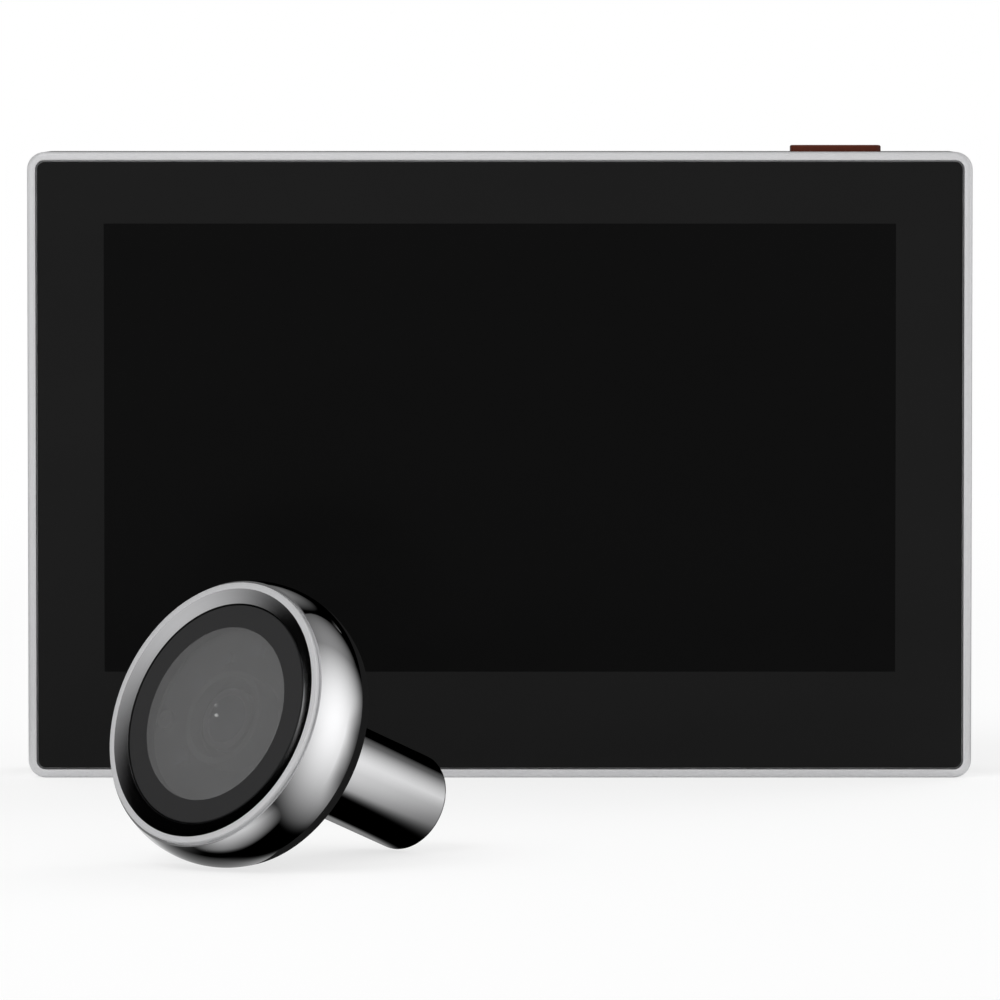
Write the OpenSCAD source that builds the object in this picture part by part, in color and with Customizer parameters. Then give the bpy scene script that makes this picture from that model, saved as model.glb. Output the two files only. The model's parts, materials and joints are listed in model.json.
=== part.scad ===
// Peephole door camera: the indoor monitor stands on its base with its door bracket behind it,
// and the outdoor camera unit lies on the same table in front of it.
// Millimetres, X to the right, Y away from the viewer, Z up.
// The origin is the middle of the monitor's flat base.

/* [Monitor] */
// Width of the monitor
monitor_w = 113.4; // [111:0.2:122]
// Height of the monitor
monitor_h = 75.2; // [74:0.2:84]
// Depth of the monitor from the rim to the back
monitor_d = 19; // [18.6:0.2:24]
// Radius of the monitor's outer corners
corner_r = 2.1; // [1.7:0.1:2.4]

/* [Front frame and glass] */
// Width of the silver rim seen from the front
rim_w = 1; // [0.9:0.05:1.2]
// Wall of the frame's skirt behind the glass
skirt_wall = 1.2; // [1:0.1:1.4]
// Thickness of the cover glass
glass_t = 1.1; // [0.8:0.1:1.3]
// Depth of the glass below the rim
glass_inset = 0.15; // [0.05:0.05:0.3]
// Open joint between glass and rim
glass_gap = 0.2; // [0.1:0.05:0.3]
// Thickness of the adhesive tape and the display gasket
tape_t = 0.2; // [0.15:0.05:0.3]

/* [Display] */
// Distance between the display module and the monitor's sides
display_side = 3.95; // [3.6:0.05:5]
// Distance between the display module and the monitor's top
display_over = 4.6; // [4:0.1:5.4]
// Distance between the display module and the monitor's base
display_under = 3.4; // [3:0.1:4.2]
// Dark border beside the lit area, inside the display module
screen_side = 5.23; // [4:0.01:7]
// Dark border above the lit area, inside the display module
screen_over = 3.97; // [3:0.01:6]
// Dark border below the lit area, inside the display module
screen_under = 9.37; // [5:0.01:12]
// Thickness of the liquid crystal panel
panel_t = 1.4; // [1:0.1:1.6]
// Thickness of the backlight
backlight_t = 1.5; // [1.2:0.1:1.7]
// Width of the display's flat ribbon
flex_w = 12; // [8:1:16]
// Thickness of the display's flat ribbon
flex_t = 0.2; // [0.1:0.05:0.3]

/* [Chassis and board] */
// Thickness of the chassis plate
chassis_t = 1; // [0.8:0.1:1.2]
// Radius of the chassis posts
post_r = 2.4; // [2.2:0.1:2.6]
// Length of the posts that take the case screws
post_l = 4; // [3.6:0.1:4.4]
// Space between chassis and main board
board_gap = 2; // [1.8:0.1:2.2]
// Thickness of the main board
board_t = 1.2; // [0.8:0.1:1.4]
// Distance between the main board and the monitor's left side
board_side = 16.7; // [13:0.1:26]
// Height of the main board's lower edge above the base
board_low = 11; // [10.5:0.5:12]
// Distance between the main board and the monitor's top
board_over = 13.2; // [12:0.1:15]
// Width of the board's tongue under the button
tongue_w = 9; // [8:0.2:9.6]
// Space between main board and battery
battery_gap = 1.25; // [0.8:0.05:2]
// Space between the battery and the rear cover's side wall
battery_side = 2.2; // [1.6:0.1:8]
// Height of the battery's lower edge above the base
battery_low = 12; // [11:0.1:14]
// Distance between the battery and the monitor's top
battery_over = 11.2; // [10.6:0.1:20]
// Radius of the speaker
speaker_r = 9; // [7.5:0.1:9.2]
// Depth of the speaker
speaker_d = 4; // [3.5:0.1:5]
// Space between the speaker and the bracket's recess
speaker_gap = 1.6; // [1:0.1:4]
// Radius of the microphone
mic_r = 2; // [1.5:0.1:2.4]
// Distance of the charging socket's middle below the main board's upper edge
usb_drop = 17; // [8:0.5:22]

/* [Button] */
// Width of the button
button_w = 10.9; // [9:0.1:11.2]
// Depth of the button, front to back
button_d = 4.2; // [3.6:0.1:4.4]
// How far the button stands out of the top
button_proud = 0.78; // [0.7:0.02:1.2]
// How far the button travels when it is pressed
button_travel = 0.5; // [0.3:0.05:0.6]
// Distance between the middles of the button and of the case screw beside it
button_from_screw = 7.4; // [6.6:0.1:12]
// Thickness of the flange that keeps the button in
button_flange_t = 0.9; // [0.7:0.1:1.2]
// Radius of the switch plunger
plunger_r = 1; // [0.8:0.05:1.2]

/* [Rear cover] */
// Wall of the rear cover
cover_wall = 1.6; // [1.4:0.1:1.8]
// Slope on the back edges
back_slope = 1.5; // [1:0.1:2]
// Depth of the lip that goes into the frame
lip_d = 0.6; // [0.4:0.1:1]
// Wall of that lip
lip_wall = 0.8; // [0.6:0.1:0.9]
// Distance of the case screws from the sides
case_screw_x = 8.7; // [8:0.1:9.2]
// Distance of the case screws from base and top
case_screw_z = 7; // [6.4:0.1:7.4]
// Radius of the case screws
case_screw_r = 1.2; // [1:0.05:1.25]
// Radius of the columns round the case screws
column_r = 3.2; // [2.9:0.1:3.3]
// Radius of the holes in the speaker grille
grille_hole_r = 0.7; // [0.5:0.05:0.8]

/* [Door bracket] */
// Height of the bracket plate
plate_h = 40; // [36:0.5:42]
// Thickness of the bracket plate
plate_t = 1.5; // [1.2:0.1:1.6]
// Distance between the bracket plate and the monitor's top
bracket_over = 11.2; // [10:0.1:13]
// Width of a hook tab at the bracket's side
tab_w = 2.6; // [2:0.1:2.8]
// Height of a hook tab
tab_h = 7; // [6:0.2:7.4]
// Height of the tabs' middles above and below the bracket's middle
tab_z = 11.5; // [11:0.1:12]
// How far the bracket slides down to come off
bracket_travel = 9; // [8:0.2:9]
// Thickness of the foam pad on the door side
pad_t = 1.2; // [1:0.1:1.8]
// Thickness of the keepers over the hook tabs
keeper_t = 0.8; // [0.6:0.1:0.9]

/* [Clamp bolt] */
// Radius of the clamp bolt
bolt_r = 4; // [3.6:0.1:4.2]
// Radius of the cable passage in the clamp bolt
bolt_bore_r = 2.6; // [2:0.1:2.8]
// Length of the clamp bolt's thread behind the bracket
bolt_l = 25; // [18:0.5:40]
// How much wider the bolt's plain neck is than its thread
bolt_neck_step = 0.4; // [0.3:0.05:0.6]
// Radius of the clamp bolt's flange
bolt_flange_r = 6.5; // [5.8:0.1:6.6]
// Thickness of the clamp bolt's flange
bolt_flange_t = 1.2; // [1:0.1:1.3]

/* [Camera unit] */
// Place of the camera head's door face, to the right
camera_x = -25.2; // [-40:0.1:40]
// Place of the camera head's door face, front to back
camera_y = -121.5; // [-160:0.5:-90]
// Turn of the camera unit to the left of straight ahead, in degrees
camera_yaw = 42; // [0:0.5:60]
// Largest radius of the camera head
head_r = 15.55; // [15.2:0.05:17]
// Radius of the arc that rounds the head's side
dome_r = 9.5; // [8:0.1:12]
// Depth of the camera head from the door to the rim
head_d = 8.5; // [8.3:0.1:10]
// Wall at the back of the head
head_floor = 1.6; // [1.4:0.1:1.8]
// How far the bezel ring's edge lies inside the head's largest radius
ring_inset = 1.05; // [0.95:0.05:1.25]
// Thickness of the bezel ring's front
ring_t = 0.5; // [0.4:0.05:0.7]
// Width of the bezel ring's flat front
ring_flat = 0.7; // [0.4:0.05:1]
// Step from the bezel ring's edge in to the spigot that goes into the head
spigot_step = 1.3; // [1.2:0.05:1.5]
// Wall of the spigot beside the camera window
spigot_wall = 0.95; // [0.8:0.05:1.1]
// Thickness of the camera window
window_t = 1.2; // [0.9:0.1:1.3]
// Open joint between camera window and bezel ring
window_gap = 0.15; // [0.1:0.05:0.2]
// Thickness of the seal under the window
seal_t = 0.2; // [0.1:0.05:0.3]
// Width of the ledge that carries the window
window_ledge = 1.2; // [1:0.1:1.4]
// Thickness of that ledge
window_ledge_t = 1; // [0.7:0.1:1.2]
// Thickness of the pad between head and door
door_pad_t = 1; // [0.8:0.1:1.4]

/* [Barrel] */
// Radius of the barrel
barrel_r = 5.4; // [5.2:0.05:6]
// Length of the barrel behind the door face
barrel_l = 24.5; // [20:0.5:40]
// How much wider the barrel is where it goes through the head
barrel_neck_step = 0.2; // [0.1:0.05:0.3]
// Radius of the cable passage in the barrel
barrel_bore_r = 3.2; // [2.8:0.1:3.4]
// Depth of the threaded end of the barrel
thread_l = 16; // [10:0.5:17]
// Radius of the barrel's flange inside the head
barrel_flange_r = 8.5; // [8.2:0.1:8.8]
// Thickness of the barrel's flange
barrel_flange_t = 1.2; // [1:0.1:1.3]

/* [Camera module] */
// Gap between the sensor board and the wall of the head
sensor_board_gap = 0.85; // [0.6:0.05:1.2]
// Thickness of the sensor board
sensor_board_t = 0.8; // [0.6:0.1:1]
// Radius of the lens holder
holder_r = 4.4; // [4.2:0.1:4.6]
// Height of the lens holder
holder_h = 1.5; // [1.3:0.1:1.6]
// Radius of the lens barrel
lens_r = 3.4; // [3:0.1:3.5]
// Space between the lens barrel's front and the camera window
lens_room = 0.7; // [0.5:0.05:0.85]
// Radius of the front lens
front_lens_r = 2.6; // [2:0.1:2.8]
// Number of infrared lamps
lamp_count = 6; // [4:1:8]

/* [Fits] */
// Gap between pieces that are put together and stay
fit_gap = 0.1; // [0.05:0.01:0.12]
// Gap round pieces that slide
slide_gap = 0.2; // [0.15:0.01:0.22]
// Gap round pieces that turn or plunge
run_gap = 0.05; // [0.03:0.01:0.08]
// Gap round the display module
display_gap = 0.3; // [0.2:0.05:0.35]

/* [Hidden] */
$fn = 64;

// a cut reaches this far past the face that it opens
past = 1;

// Monitor, front to back
mid_z = monitor_h / 2;
front_y = -monitor_d / 2;
back_y = monitor_d / 2;
glass_y = front_y + glass_inset;
tape_y = glass_y + glass_t;
panel_y = tape_y + tape_t;
backlight_y = panel_y + panel_t;
chassis_y = backlight_y + backlight_t;
post_y = chassis_y + chassis_t;
chassis_head_t = 0.8;
seam_y = post_y + chassis_head_t + fit_gap + lip_d;
board_y = post_y + board_gap;
board_back = board_y + board_t;
post_end = post_y + post_l;
inner_back = back_y - cover_wall;

// Monitor outlines, each inside the one before
recess_w = monitor_w - 2 * rim_w;
recess_h = monitor_h - 2 * rim_w;
recess_r = corner_r - rim_w;
glass_w = recess_w - 2 * glass_gap;
glass_h = recess_h - 2 * glass_gap;
glass_r = recess_r - glass_gap / 2;
skirt_w = monitor_w - 2 * skirt_wall;
skirt_h = monitor_h - 2 * skirt_wall;
skirt_r = corner_r - skirt_wall;
inner_w = monitor_w - 2 * cover_wall;
inner_h = monitor_h - 2 * cover_wall;
inner_r = 0.4;
lip_w = skirt_w - 2 * fit_gap;
lip_h = skirt_h - 2 * fit_gap;
lip_overlap = 1;
side_x = inner_w / 2;

// Display
display_w = monitor_w - 2 * display_side;
display_h = monitor_h - display_over - display_under;
display_z = display_under + display_h / 2;
screen_w = display_w - 2 * screen_side;
screen_h = display_h - screen_over - screen_under;
screen_z = display_under + screen_under + screen_h / 2;
window_w = display_w + 2 * display_gap;
window_h = display_h + 2 * display_gap;
gasket_margin = 1;
flex_foot = 4;
flex_rise = 5;
flex_z = display_z - display_h / 2 + flex_rise;
flex_tail = 4;

// Screws of the monitor
chassis_screw_r = 0.7;
chassis_head_r = 1;
chassis_screw_l = 2.2;
chassis_screw_edge = (skirt_wall + display_side - display_gap) / 2;
chassis_screw_rise = 20;
board_screw_r = 0.8;
board_screw_head_r = 1.5;
board_screw_head_t = 0.9;
board_screw_edge = 3;
case_head_r = 2;
case_head_t = 1.4;
case_seat = 2;
case_tip = 1;
case_tip_y = post_y + case_tip;

// Board pieces
board_left = board_side - monitor_w / 2;
board_right = lip_w / 2 - lip_wall - display_gap;
board_high = monitor_h - board_over;
shield_t = 1.6;
shield_w = 22;
shield_h = 20;
shield_x = 10;
shield_rise = 5;
shield_z = board_low + shield_rise;
wifi_w = 14;
wifi_h = 12;
wifi_t = 1.8;
wifi_x = 24;
wifi_drop = 4;
wifi_z = board_high - wifi_drop - wifi_h;
usb_w = 7.6;
usb_t = 2.7;
usb_l = 5.6;
usb_wall = 0.35;
usb_inset = 0.6;
usb_out = monitor_w / 2 - usb_inset;
usb_z = board_high - usb_drop;
socket_x = 18;
socket_w = 8;
socket_h = 3.6;
socket_wall = 0.7;
socket_gap = 2.2;
socket_z = shield_z + shield_h + socket_gap + socket_h / 2;
switch_w = 6;
switch_d = 3.5;
switch_h = 3.3;

// Button, from the top down
button_x = monitor_w / 2 - case_screw_x - button_from_screw;
button_y = board_back + switch_d / 2;
top_inner = monitor_h - cover_wall;
button_top = monitor_h + button_proud;
button_edge = 0.8;
flange_top = top_inner - fit_gap;
flange_low = flange_top - button_flange_t;
stem_l = 1.6;
stem_w = 3;
stem_d = 2;
stem_low = flange_low - stem_l;
plunger_out = 1.3;
switch_top = stem_low - plunger_out;
switch_low = switch_top - switch_h;
plunger_in = 0.8;
tongue_top = switch_top + fit_gap;

// Back of the monitor and the bracket in its recess
bracket_z = monitor_h - bracket_over - plate_h / 2;
plate_recess_gap = 0.2;
recess_d = plate_recess_gap + plate_t + fit_gap + keeper_t;
recess_y = back_y - recess_d;
floor_wall = 1.4;
recess_inner = recess_y - floor_wall;
plate_y = recess_y + plate_recess_gap;
plate_back = plate_y + plate_t;
pad_back = plate_back + pad_t;
speaker_edge = 2.7;
speaker_x = monitor_w / 2 - speaker_r - speaker_edge;
pocket_x = speaker_x - speaker_r - speaker_gap - floor_wall;
bracket_x = pocket_x - 2 * slide_gap;
plate_w = 2 * (bracket_x - tab_w);
pocket_high = bracket_z + plate_h / 2 + slide_gap;
pocket_low = bracket_z - plate_h / 2 - bracket_travel - slide_gap;
keeper_x = plate_w / 2 + slide_gap;
keeper_y = plate_back + fit_gap;
pad_inset = 2;
pad_hole_room = 3;
pad_hole_r = bolt_r + pad_hole_room;
well_room = 0.6;
well_r = bolt_flange_r + well_room;
well_y = plate_y - run_gap - bolt_flange_t - well_room / 2;
well_wall = 1.2;
battery_right = -well_r - well_wall - well_room;
battery_w = side_x + battery_right - battery_side;
battery_h = monitor_h - battery_low - battery_over;
battery_back = recess_inner - tape_t;
battery_t = battery_back - board_back - battery_gap;
speaker_gasket_t = 0.3;
speaker_z = 22;
speaker_back = inner_back - speaker_gasket_t;
speaker_cone_t = 1.2;
speaker_magnet_in = 3;
speaker_gasket_w = 1.4;
grille_rings = 2;
grille_step = 2.5;
mic_side = 18.7;
mic_x = mic_side - monitor_w / 2;
mic_z = 8;
mic_t = 1.5;
mic_boot_wall = 1;
mic_boot_t = 2.2;
mic_hole_r = 0.6;
antenna_w = 26;
antenna_h = 5;
antenna_t = 0.3;
antenna_side = 26.7;
antenna_x = antenna_side - monitor_w / 2;
antenna_drop = 8.6;
antenna_z = monitor_h - antenna_drop;

// Clamp bolt
bolt_under = plate_y - run_gap;
bolt_neck_r = bolt_r + bolt_neck_step;
bolt_neck_end = pad_back + fit_gap;
bolt_end = bolt_neck_end + bolt_l;
bolt_slot_w = 2;
bolt_slot_d = 0.7;

// Camera head, measured forward from the door face
arc_z = head_d / 2;
arc_r = head_r - dome_r;
ring_r = head_r - ring_inset;
spigot_r = ring_r - spigot_step;
ring_seat = head_d - ring_t;
window_back = ring_seat - window_t;
ledge_z = window_back - seal_t;
spigot_low = ledge_z - window_ledge_t;
window_bore_r = spigot_r - spigot_wall;
window_r = window_bore_r - window_gap;
ledge_r = window_bore_r - window_ledge;
bevel_r = ring_r - ring_flat;
cavity_r = spigot_r + run_gap;
flange_z = head_floor + barrel_flange_t;
carrier_top = flange_z + fit_gap;
board_front = carrier_top + sensor_board_t;
sensor_board_r = cavity_r - sensor_board_gap;
lens_top = window_back - lens_room;
carrier_r = cavity_r - fit_gap;
carrier_bore_r = barrel_flange_r + slide_gap;
door_pad_edge = 2.2;
door_pad_room = 3;
door_pad_r = head_r - door_pad_edge;
door_pad_bore_r = barrel_r + door_pad_room;
door_pad_in = 0.6;
thread_r = bolt_r + run_gap;
barrel_neck_r = barrel_r + barrel_neck_step;
barrel_screw_r = 0.6;
barrel_screw_head_r = 1;
barrel_screw_head_t = 0.5;
barrel_screw_at = (barrel_flange_r + barrel_neck_r) / 2;
barrel_screw_in = 1;
grommet_l = 4;
grommet_hole_r = 1.2;
module_screw_r = 0.6;
module_screw_head_r = 1;
module_screw_head_t = 0.5;
module_screw_at = (carrier_r + carrier_bore_r) / 2;
module_screw_in = 0.9;
sensor_w = 5;
sensor_t = 0.5;
filter_r = 2.8;
filter_t = 0.3;
filter_z = board_front + sensor_t + fit_gap;
holder_room_r = 3.8;
lens_low = filter_z + filter_t + fit_gap;
lens_floor = 0.5;
front_lens_low = lens_low + lens_floor;
front_lens_rise = 0.35;
front_lens_sphere_r = (pow(front_lens_r, 2) + pow(front_lens_rise, 2)) / (2 * front_lens_rise);
shroud_r = holder_r + fit_gap;
shroud_wall = 0.7;
shroud_top = window_back - fit_gap;
lamp_at = 8.2;
lamp_w = 1.6;
lamp_t = 0.8;
light_sensor_w = 1.2;
light_sensor_t = 0.6;
header_w = 4.4;
header_h = 2.4;
header_t = 1;

// The unit lies on the lowest point of its rounded side and on the end of its barrel
rest_run = arc_z + barrel_l;
rest_rise = arc_r - barrel_r;
camera_tilt = asin(dome_r / norm([rest_run, rest_rise])) + atan2(rest_rise, rest_run);
camera_z = barrel_l * sin(camera_tilt) + barrel_r * cos(camera_tilt);

// Repeated shapes

module rounded_rect(w, h, r) {
    square([w - 2 * r, h], center = true);
    square([w, h - 2 * r], center = true);
    for (x = [-1, 1], y = [-1, 1])
        translate([x * (w / 2 - r), y * (h / 2 - r)]) circle(r = r);
}

// an upright plate, from the depth y0 to y1, with its middle at the height z
module upright(w, h, r, y0, y1, z) {
    translate([0, y1, z]) rotate([90, 0, 0]) linear_extrude(y1 - y0) rounded_rect(w, h, r);
}

// a box between two limits on each axis
module span(x, y, z) {
    translate([x[0], y[0], z[0]]) cube([x[1] - x[0], y[1] - y[0], z[1] - z[0]]);
}

// a round bar along Y, from the depth y0 to y1
module bar_y(r, y0, y1) {
    translate([0, y0, 0]) rotate([-90, 0, 0]) cylinder(r = r, h = y1 - y0);
}

// a screw with its tip at the origin and its head up, with a six-sided socket
module screw(r, l, head_r, head_t) {
    difference() {
        union() {
            cylinder(r = r, h = l);
            translate([0, 0, l]) cylinder(r = head_r, h = head_t);
        }
        translate([0, 0, l + head_t / 2]) cylinder(r = head_r / 2, h = head_t, $fn = 6);
    }
}

// a flat ring
module ring(outer, inner, low, high) {
    translate([0, 0, low]) difference() {
        cylinder(r = outer, h = high - low);
        translate([0, 0, -past]) cylinder(r = inner, h = high - low + 2 * past);
    }
}

module at_case_screws() {
    for (x = [-1, 1], z = [case_screw_z, monitor_h - case_screw_z])
        translate([x * (monitor_w / 2 - case_screw_x), 0, z]) children();
}

module at_chassis_screws() {
    for (x = [-1, 1], z = [chassis_screw_rise, monitor_h - chassis_screw_rise])
        translate([x * (monitor_w / 2 - chassis_screw_edge), 0, z]) children();
}

module at_board_screws() {
    for (x = [board_left + board_screw_edge, board_right - board_screw_edge],
         z = [board_low + board_screw_edge, board_high - board_screw_edge])
        translate([x, 0, z]) children();
}

module round_the_axis(count, radius, first = 0) {
    for (i = [0 : count - 1]) rotate(first + i * 360 / count) translate([radius, 0, 0]) children();
}

// the camera unit's own frame: door face at the origin, front along +Z
module lying() {
    translate([camera_x, camera_y, camera_z]) rotate([90 - camera_tilt, 0, -camera_yaw]) children();
}

// Monitor, front

module front_frame() color("silver") difference() {
    upright(monitor_w, monitor_h, corner_r, front_y, seam_y, mid_z);
    upright(recess_w, recess_h, recess_r, front_y - past, panel_y, mid_z);
    upright(window_w, window_h, inner_r, front_y - past, seam_y + past, display_z);
    upright(skirt_w, skirt_h, skirt_r, chassis_y, seam_y + past, mid_z);
    at_chassis_screws() bar_y(chassis_screw_r + fit_gap / 2, chassis_y - chassis_screw_l, seam_y);
}

module cover_glass() color("#1f1f1f") upright(glass_w, glass_h, glass_r, glass_y, tape_y, mid_z);

module glass_tape() color("#101010") difference() {
    upright(glass_w, glass_h, glass_r, tape_y, panel_y, mid_z);
    upright(window_w, window_h, inner_r, tape_y - past, panel_y + past, display_z);
}

module display_gasket() color("#202020") difference() {
    upright(display_w, display_h, inner_r, tape_y, panel_y, display_z);
    upright(screen_w + 2 * gasket_margin, screen_h + 2 * gasket_margin, inner_r,
            tape_y - past, panel_y + past, screen_z);
}

module lcd_panel() color("#111111")
    upright(display_w, display_h, inner_r, panel_y, backlight_y, display_z);

module backlight() color("#d0d0cc")
    upright(display_w, display_h, inner_r, backlight_y, chassis_y, display_z);

module display_flex() color("#b5732a") {
    across = [-flex_w / 2, flex_w / 2];
    span(across, [chassis_y, chassis_y + flex_t], [flex_z, flex_z + flex_foot]);
    span(across, [chassis_y, board_y], [flex_z + flex_foot - flex_t, flex_z + flex_foot]);
    span(across, [board_y - flex_t, board_y], [flex_z + flex_foot - flex_t, board_low + flex_tail]);
}

// Monitor, inside

module chassis_plate() color("#3a3a3a") difference() {
    union() {
        upright(skirt_w - 2 * fit_gap, skirt_h - 2 * fit_gap, skirt_r, chassis_y, post_y, mid_z);
        at_case_screws() bar_y(post_r, chassis_y, post_end);
        at_board_screws() bar_y(post_r, chassis_y, board_y);
    }
    at_case_screws() bar_y(case_screw_r + fit_gap / 2, case_tip_y, post_end + past);
    at_board_screws() bar_y(board_screw_r + fit_gap / 2, post_y, board_y + past);
    at_chassis_screws() bar_y(chassis_screw_r + fit_gap, chassis_y - past, post_y + past);
    span([-flex_w / 2 - slide_gap, flex_w / 2 + slide_gap], [chassis_y - past, post_y + past],
         [flex_z - slide_gap, flex_z + flex_foot + slide_gap]);
}

module chassis_screws() color("#8a8a8a") at_chassis_screws()
    translate([0, post_y - chassis_screw_l, 0]) rotate([-90, 0, 0])
        screw(chassis_screw_r, chassis_screw_l, chassis_head_r, chassis_head_t);

module main_board() color("#1d5a36") difference() {
    union() {
        span([board_left, board_right], [board_y, board_back], [board_low, board_high]);
        span([button_x - tongue_w / 2, button_x + tongue_w / 2], [board_y, board_back],
             [board_high - past, tongue_top]);
    }
    at_board_screws() bar_y(board_screw_r + fit_gap, board_y - past, board_back + past);
}

module board_screws() color("#9a9a9a") at_board_screws()
    translate([0, post_y, 0]) rotate([-90, 0, 0])
        screw(board_screw_r, board_back - post_y, board_screw_head_r, board_screw_head_t);

module soc_shield() color("#b8bcc0")
    span([shield_x, shield_x + shield_w], [board_back, board_back + shield_t],
         [shield_z, shield_z + shield_h]);

module wifi_module() color("#30343a")
    span([wifi_x, wifi_x + wifi_w], [board_back, board_back + wifi_t], [wifi_z, wifi_z + wifi_h]);

module usb_socket() color("#c4c6c8") difference() {
    span([usb_out - usb_l, usb_out], [board_back, board_back + usb_t],
         [usb_z - usb_w / 2, usb_z + usb_w / 2]);
    difference() {
        span([usb_out - usb_l + 2 * usb_wall, usb_out + past],
             [board_back + usb_wall, board_back + usb_t - usb_wall],
             [usb_z - usb_w / 2 + usb_wall, usb_z + usb_w / 2 - usb_wall]);
        span([usb_out - usb_l, usb_out - 2 * usb_wall],
             [board_back + usb_t / 2 - usb_wall, board_back + usb_t / 2 + usb_wall],
             [usb_z - usb_w / 4, usb_z + usb_w / 4]);
    }
}

module camera_socket() color("#e6e2d6") difference() {
    span([socket_x - socket_w / 2, socket_x + socket_w / 2], [board_back, recess_y - slide_gap],
         [socket_z - socket_h / 2, socket_z + socket_h / 2]);
    span([socket_x - socket_w / 2 + socket_wall, socket_x + socket_w / 2 - socket_wall],
         [board_back + 2 * socket_wall, recess_y],
         [socket_z - socket_h / 2 + socket_wall, socket_z + socket_h / 2 - socket_wall]);
}

module switch_body() color("#2a2a2a") difference() {
    span([button_x - switch_w / 2, button_x + switch_w / 2], [board_back, board_back + switch_d],
         [switch_low, switch_top]);
    translate([button_x, button_y, switch_top - plunger_in - 2 * button_travel])
        cylinder(r = plunger_r + run_gap, h = switch_h);
}

module switch_plunger() color("#e8e4da") translate([button_x, button_y, switch_top - plunger_in])
    cylinder(r = plunger_r, h = plunger_in + plunger_out);

module button_cap() color("#4c241b") {
    translate([button_x, button_y, flange_top]) linear_extrude(button_top - flange_top)
        rounded_rect(button_w, button_d, button_edge);
    translate([button_x, button_y, flange_low]) linear_extrude(button_flange_t)
        rounded_rect(button_w + 2 * button_edge, button_d + 2 * button_edge, button_edge);
    span([button_x - stem_w / 2, button_x + stem_w / 2], [button_y - stem_d / 2, button_y + stem_d / 2],
         [stem_low, flange_low]);
}

module battery() color("#b9bdc4")
    span([battery_right - battery_w, battery_right], [battery_back - battery_t, battery_back],
         [battery_low, battery_low + battery_h]);

module battery_pad() color("#e9e9e4")
    span([-pocket_x, battery_right], [battery_back, recess_inner],
         [battery_low + 2 * cover_wall, battery_low + battery_h - cover_wall]);

module speaker() color("#4a4a4c") translate([speaker_x, 0, speaker_z]) {
    bar_y(speaker_r, speaker_back - speaker_cone_t, speaker_back);
    bar_y(speaker_r - speaker_magnet_in, speaker_back - speaker_d, speaker_back - speaker_cone_t);
}

module speaker_gasket() color("#1a1a1a") translate([speaker_x, inner_back, speaker_z])
    rotate([90, 0, 0]) ring(speaker_r, speaker_r - speaker_gasket_w, 0, speaker_gasket_t);

module microphone() color("#9c9c9c") translate([mic_x, 0, mic_z])
    bar_y(mic_r, inner_back - mic_t, inner_back);

module mic_boot() color("#151515") translate([mic_x, inner_back, mic_z])
    rotate([90, 0, 0]) ring(mic_r + mic_boot_wall, mic_r, 0, mic_boot_t);

module antenna() color("#c08a3c")
    span([antenna_x, antenna_x + antenna_w], [inner_back - antenna_t, inner_back],
         [antenna_z, antenna_z + antenna_h]);

// Monitor, back

module back_edge_cuts() {
    side = back_slope * sqrt(2);
    for (z = [0, monitor_h])
        translate([0, back_y, z]) rotate([45, 0, 0]) cube([monitor_w + 2 * past, side, side], center = true);
    for (x = [-1, 1])
        translate([x * monitor_w / 2, back_y, mid_z]) rotate([0, 0, 45])
            cube([side, side, monitor_h + 2 * past], center = true);
}

module grille() {
    translate([speaker_x, 0, speaker_z]) {
        bar_y(grille_hole_r, inner_back - past, back_y + past);
        for (ring_no = [1 : grille_rings], i = [1 : 6 * ring_no])
            rotate([0, i * 60 / ring_no, 0]) translate([ring_no * grille_step, 0, 0])
                bar_y(grille_hole_r, inner_back - past, back_y + past);
    }
}

// the room under the top wall that the button's flange needs
module button_room() {
    reach_x = button_w / 2 + button_edge + 2 * slide_gap;
    reach_y = button_d / 2 + button_edge + 2 * slide_gap;
    span([button_x - reach_x, button_x + reach_x], [button_y - reach_y, button_y + reach_y],
         [stem_low, top_inner]);
}

// the slot-shaped room that the bolt's flange needs as the bracket slides down
module flange_room(r, y0, y1) {
    for (drop = [0, bracket_travel]) translate([0, 0, bracket_z - drop]) bar_y(r, y0, y1);
    span([-r, r], [y0, y1], [bracket_z - bracket_travel, bracket_z]);
}

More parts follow.
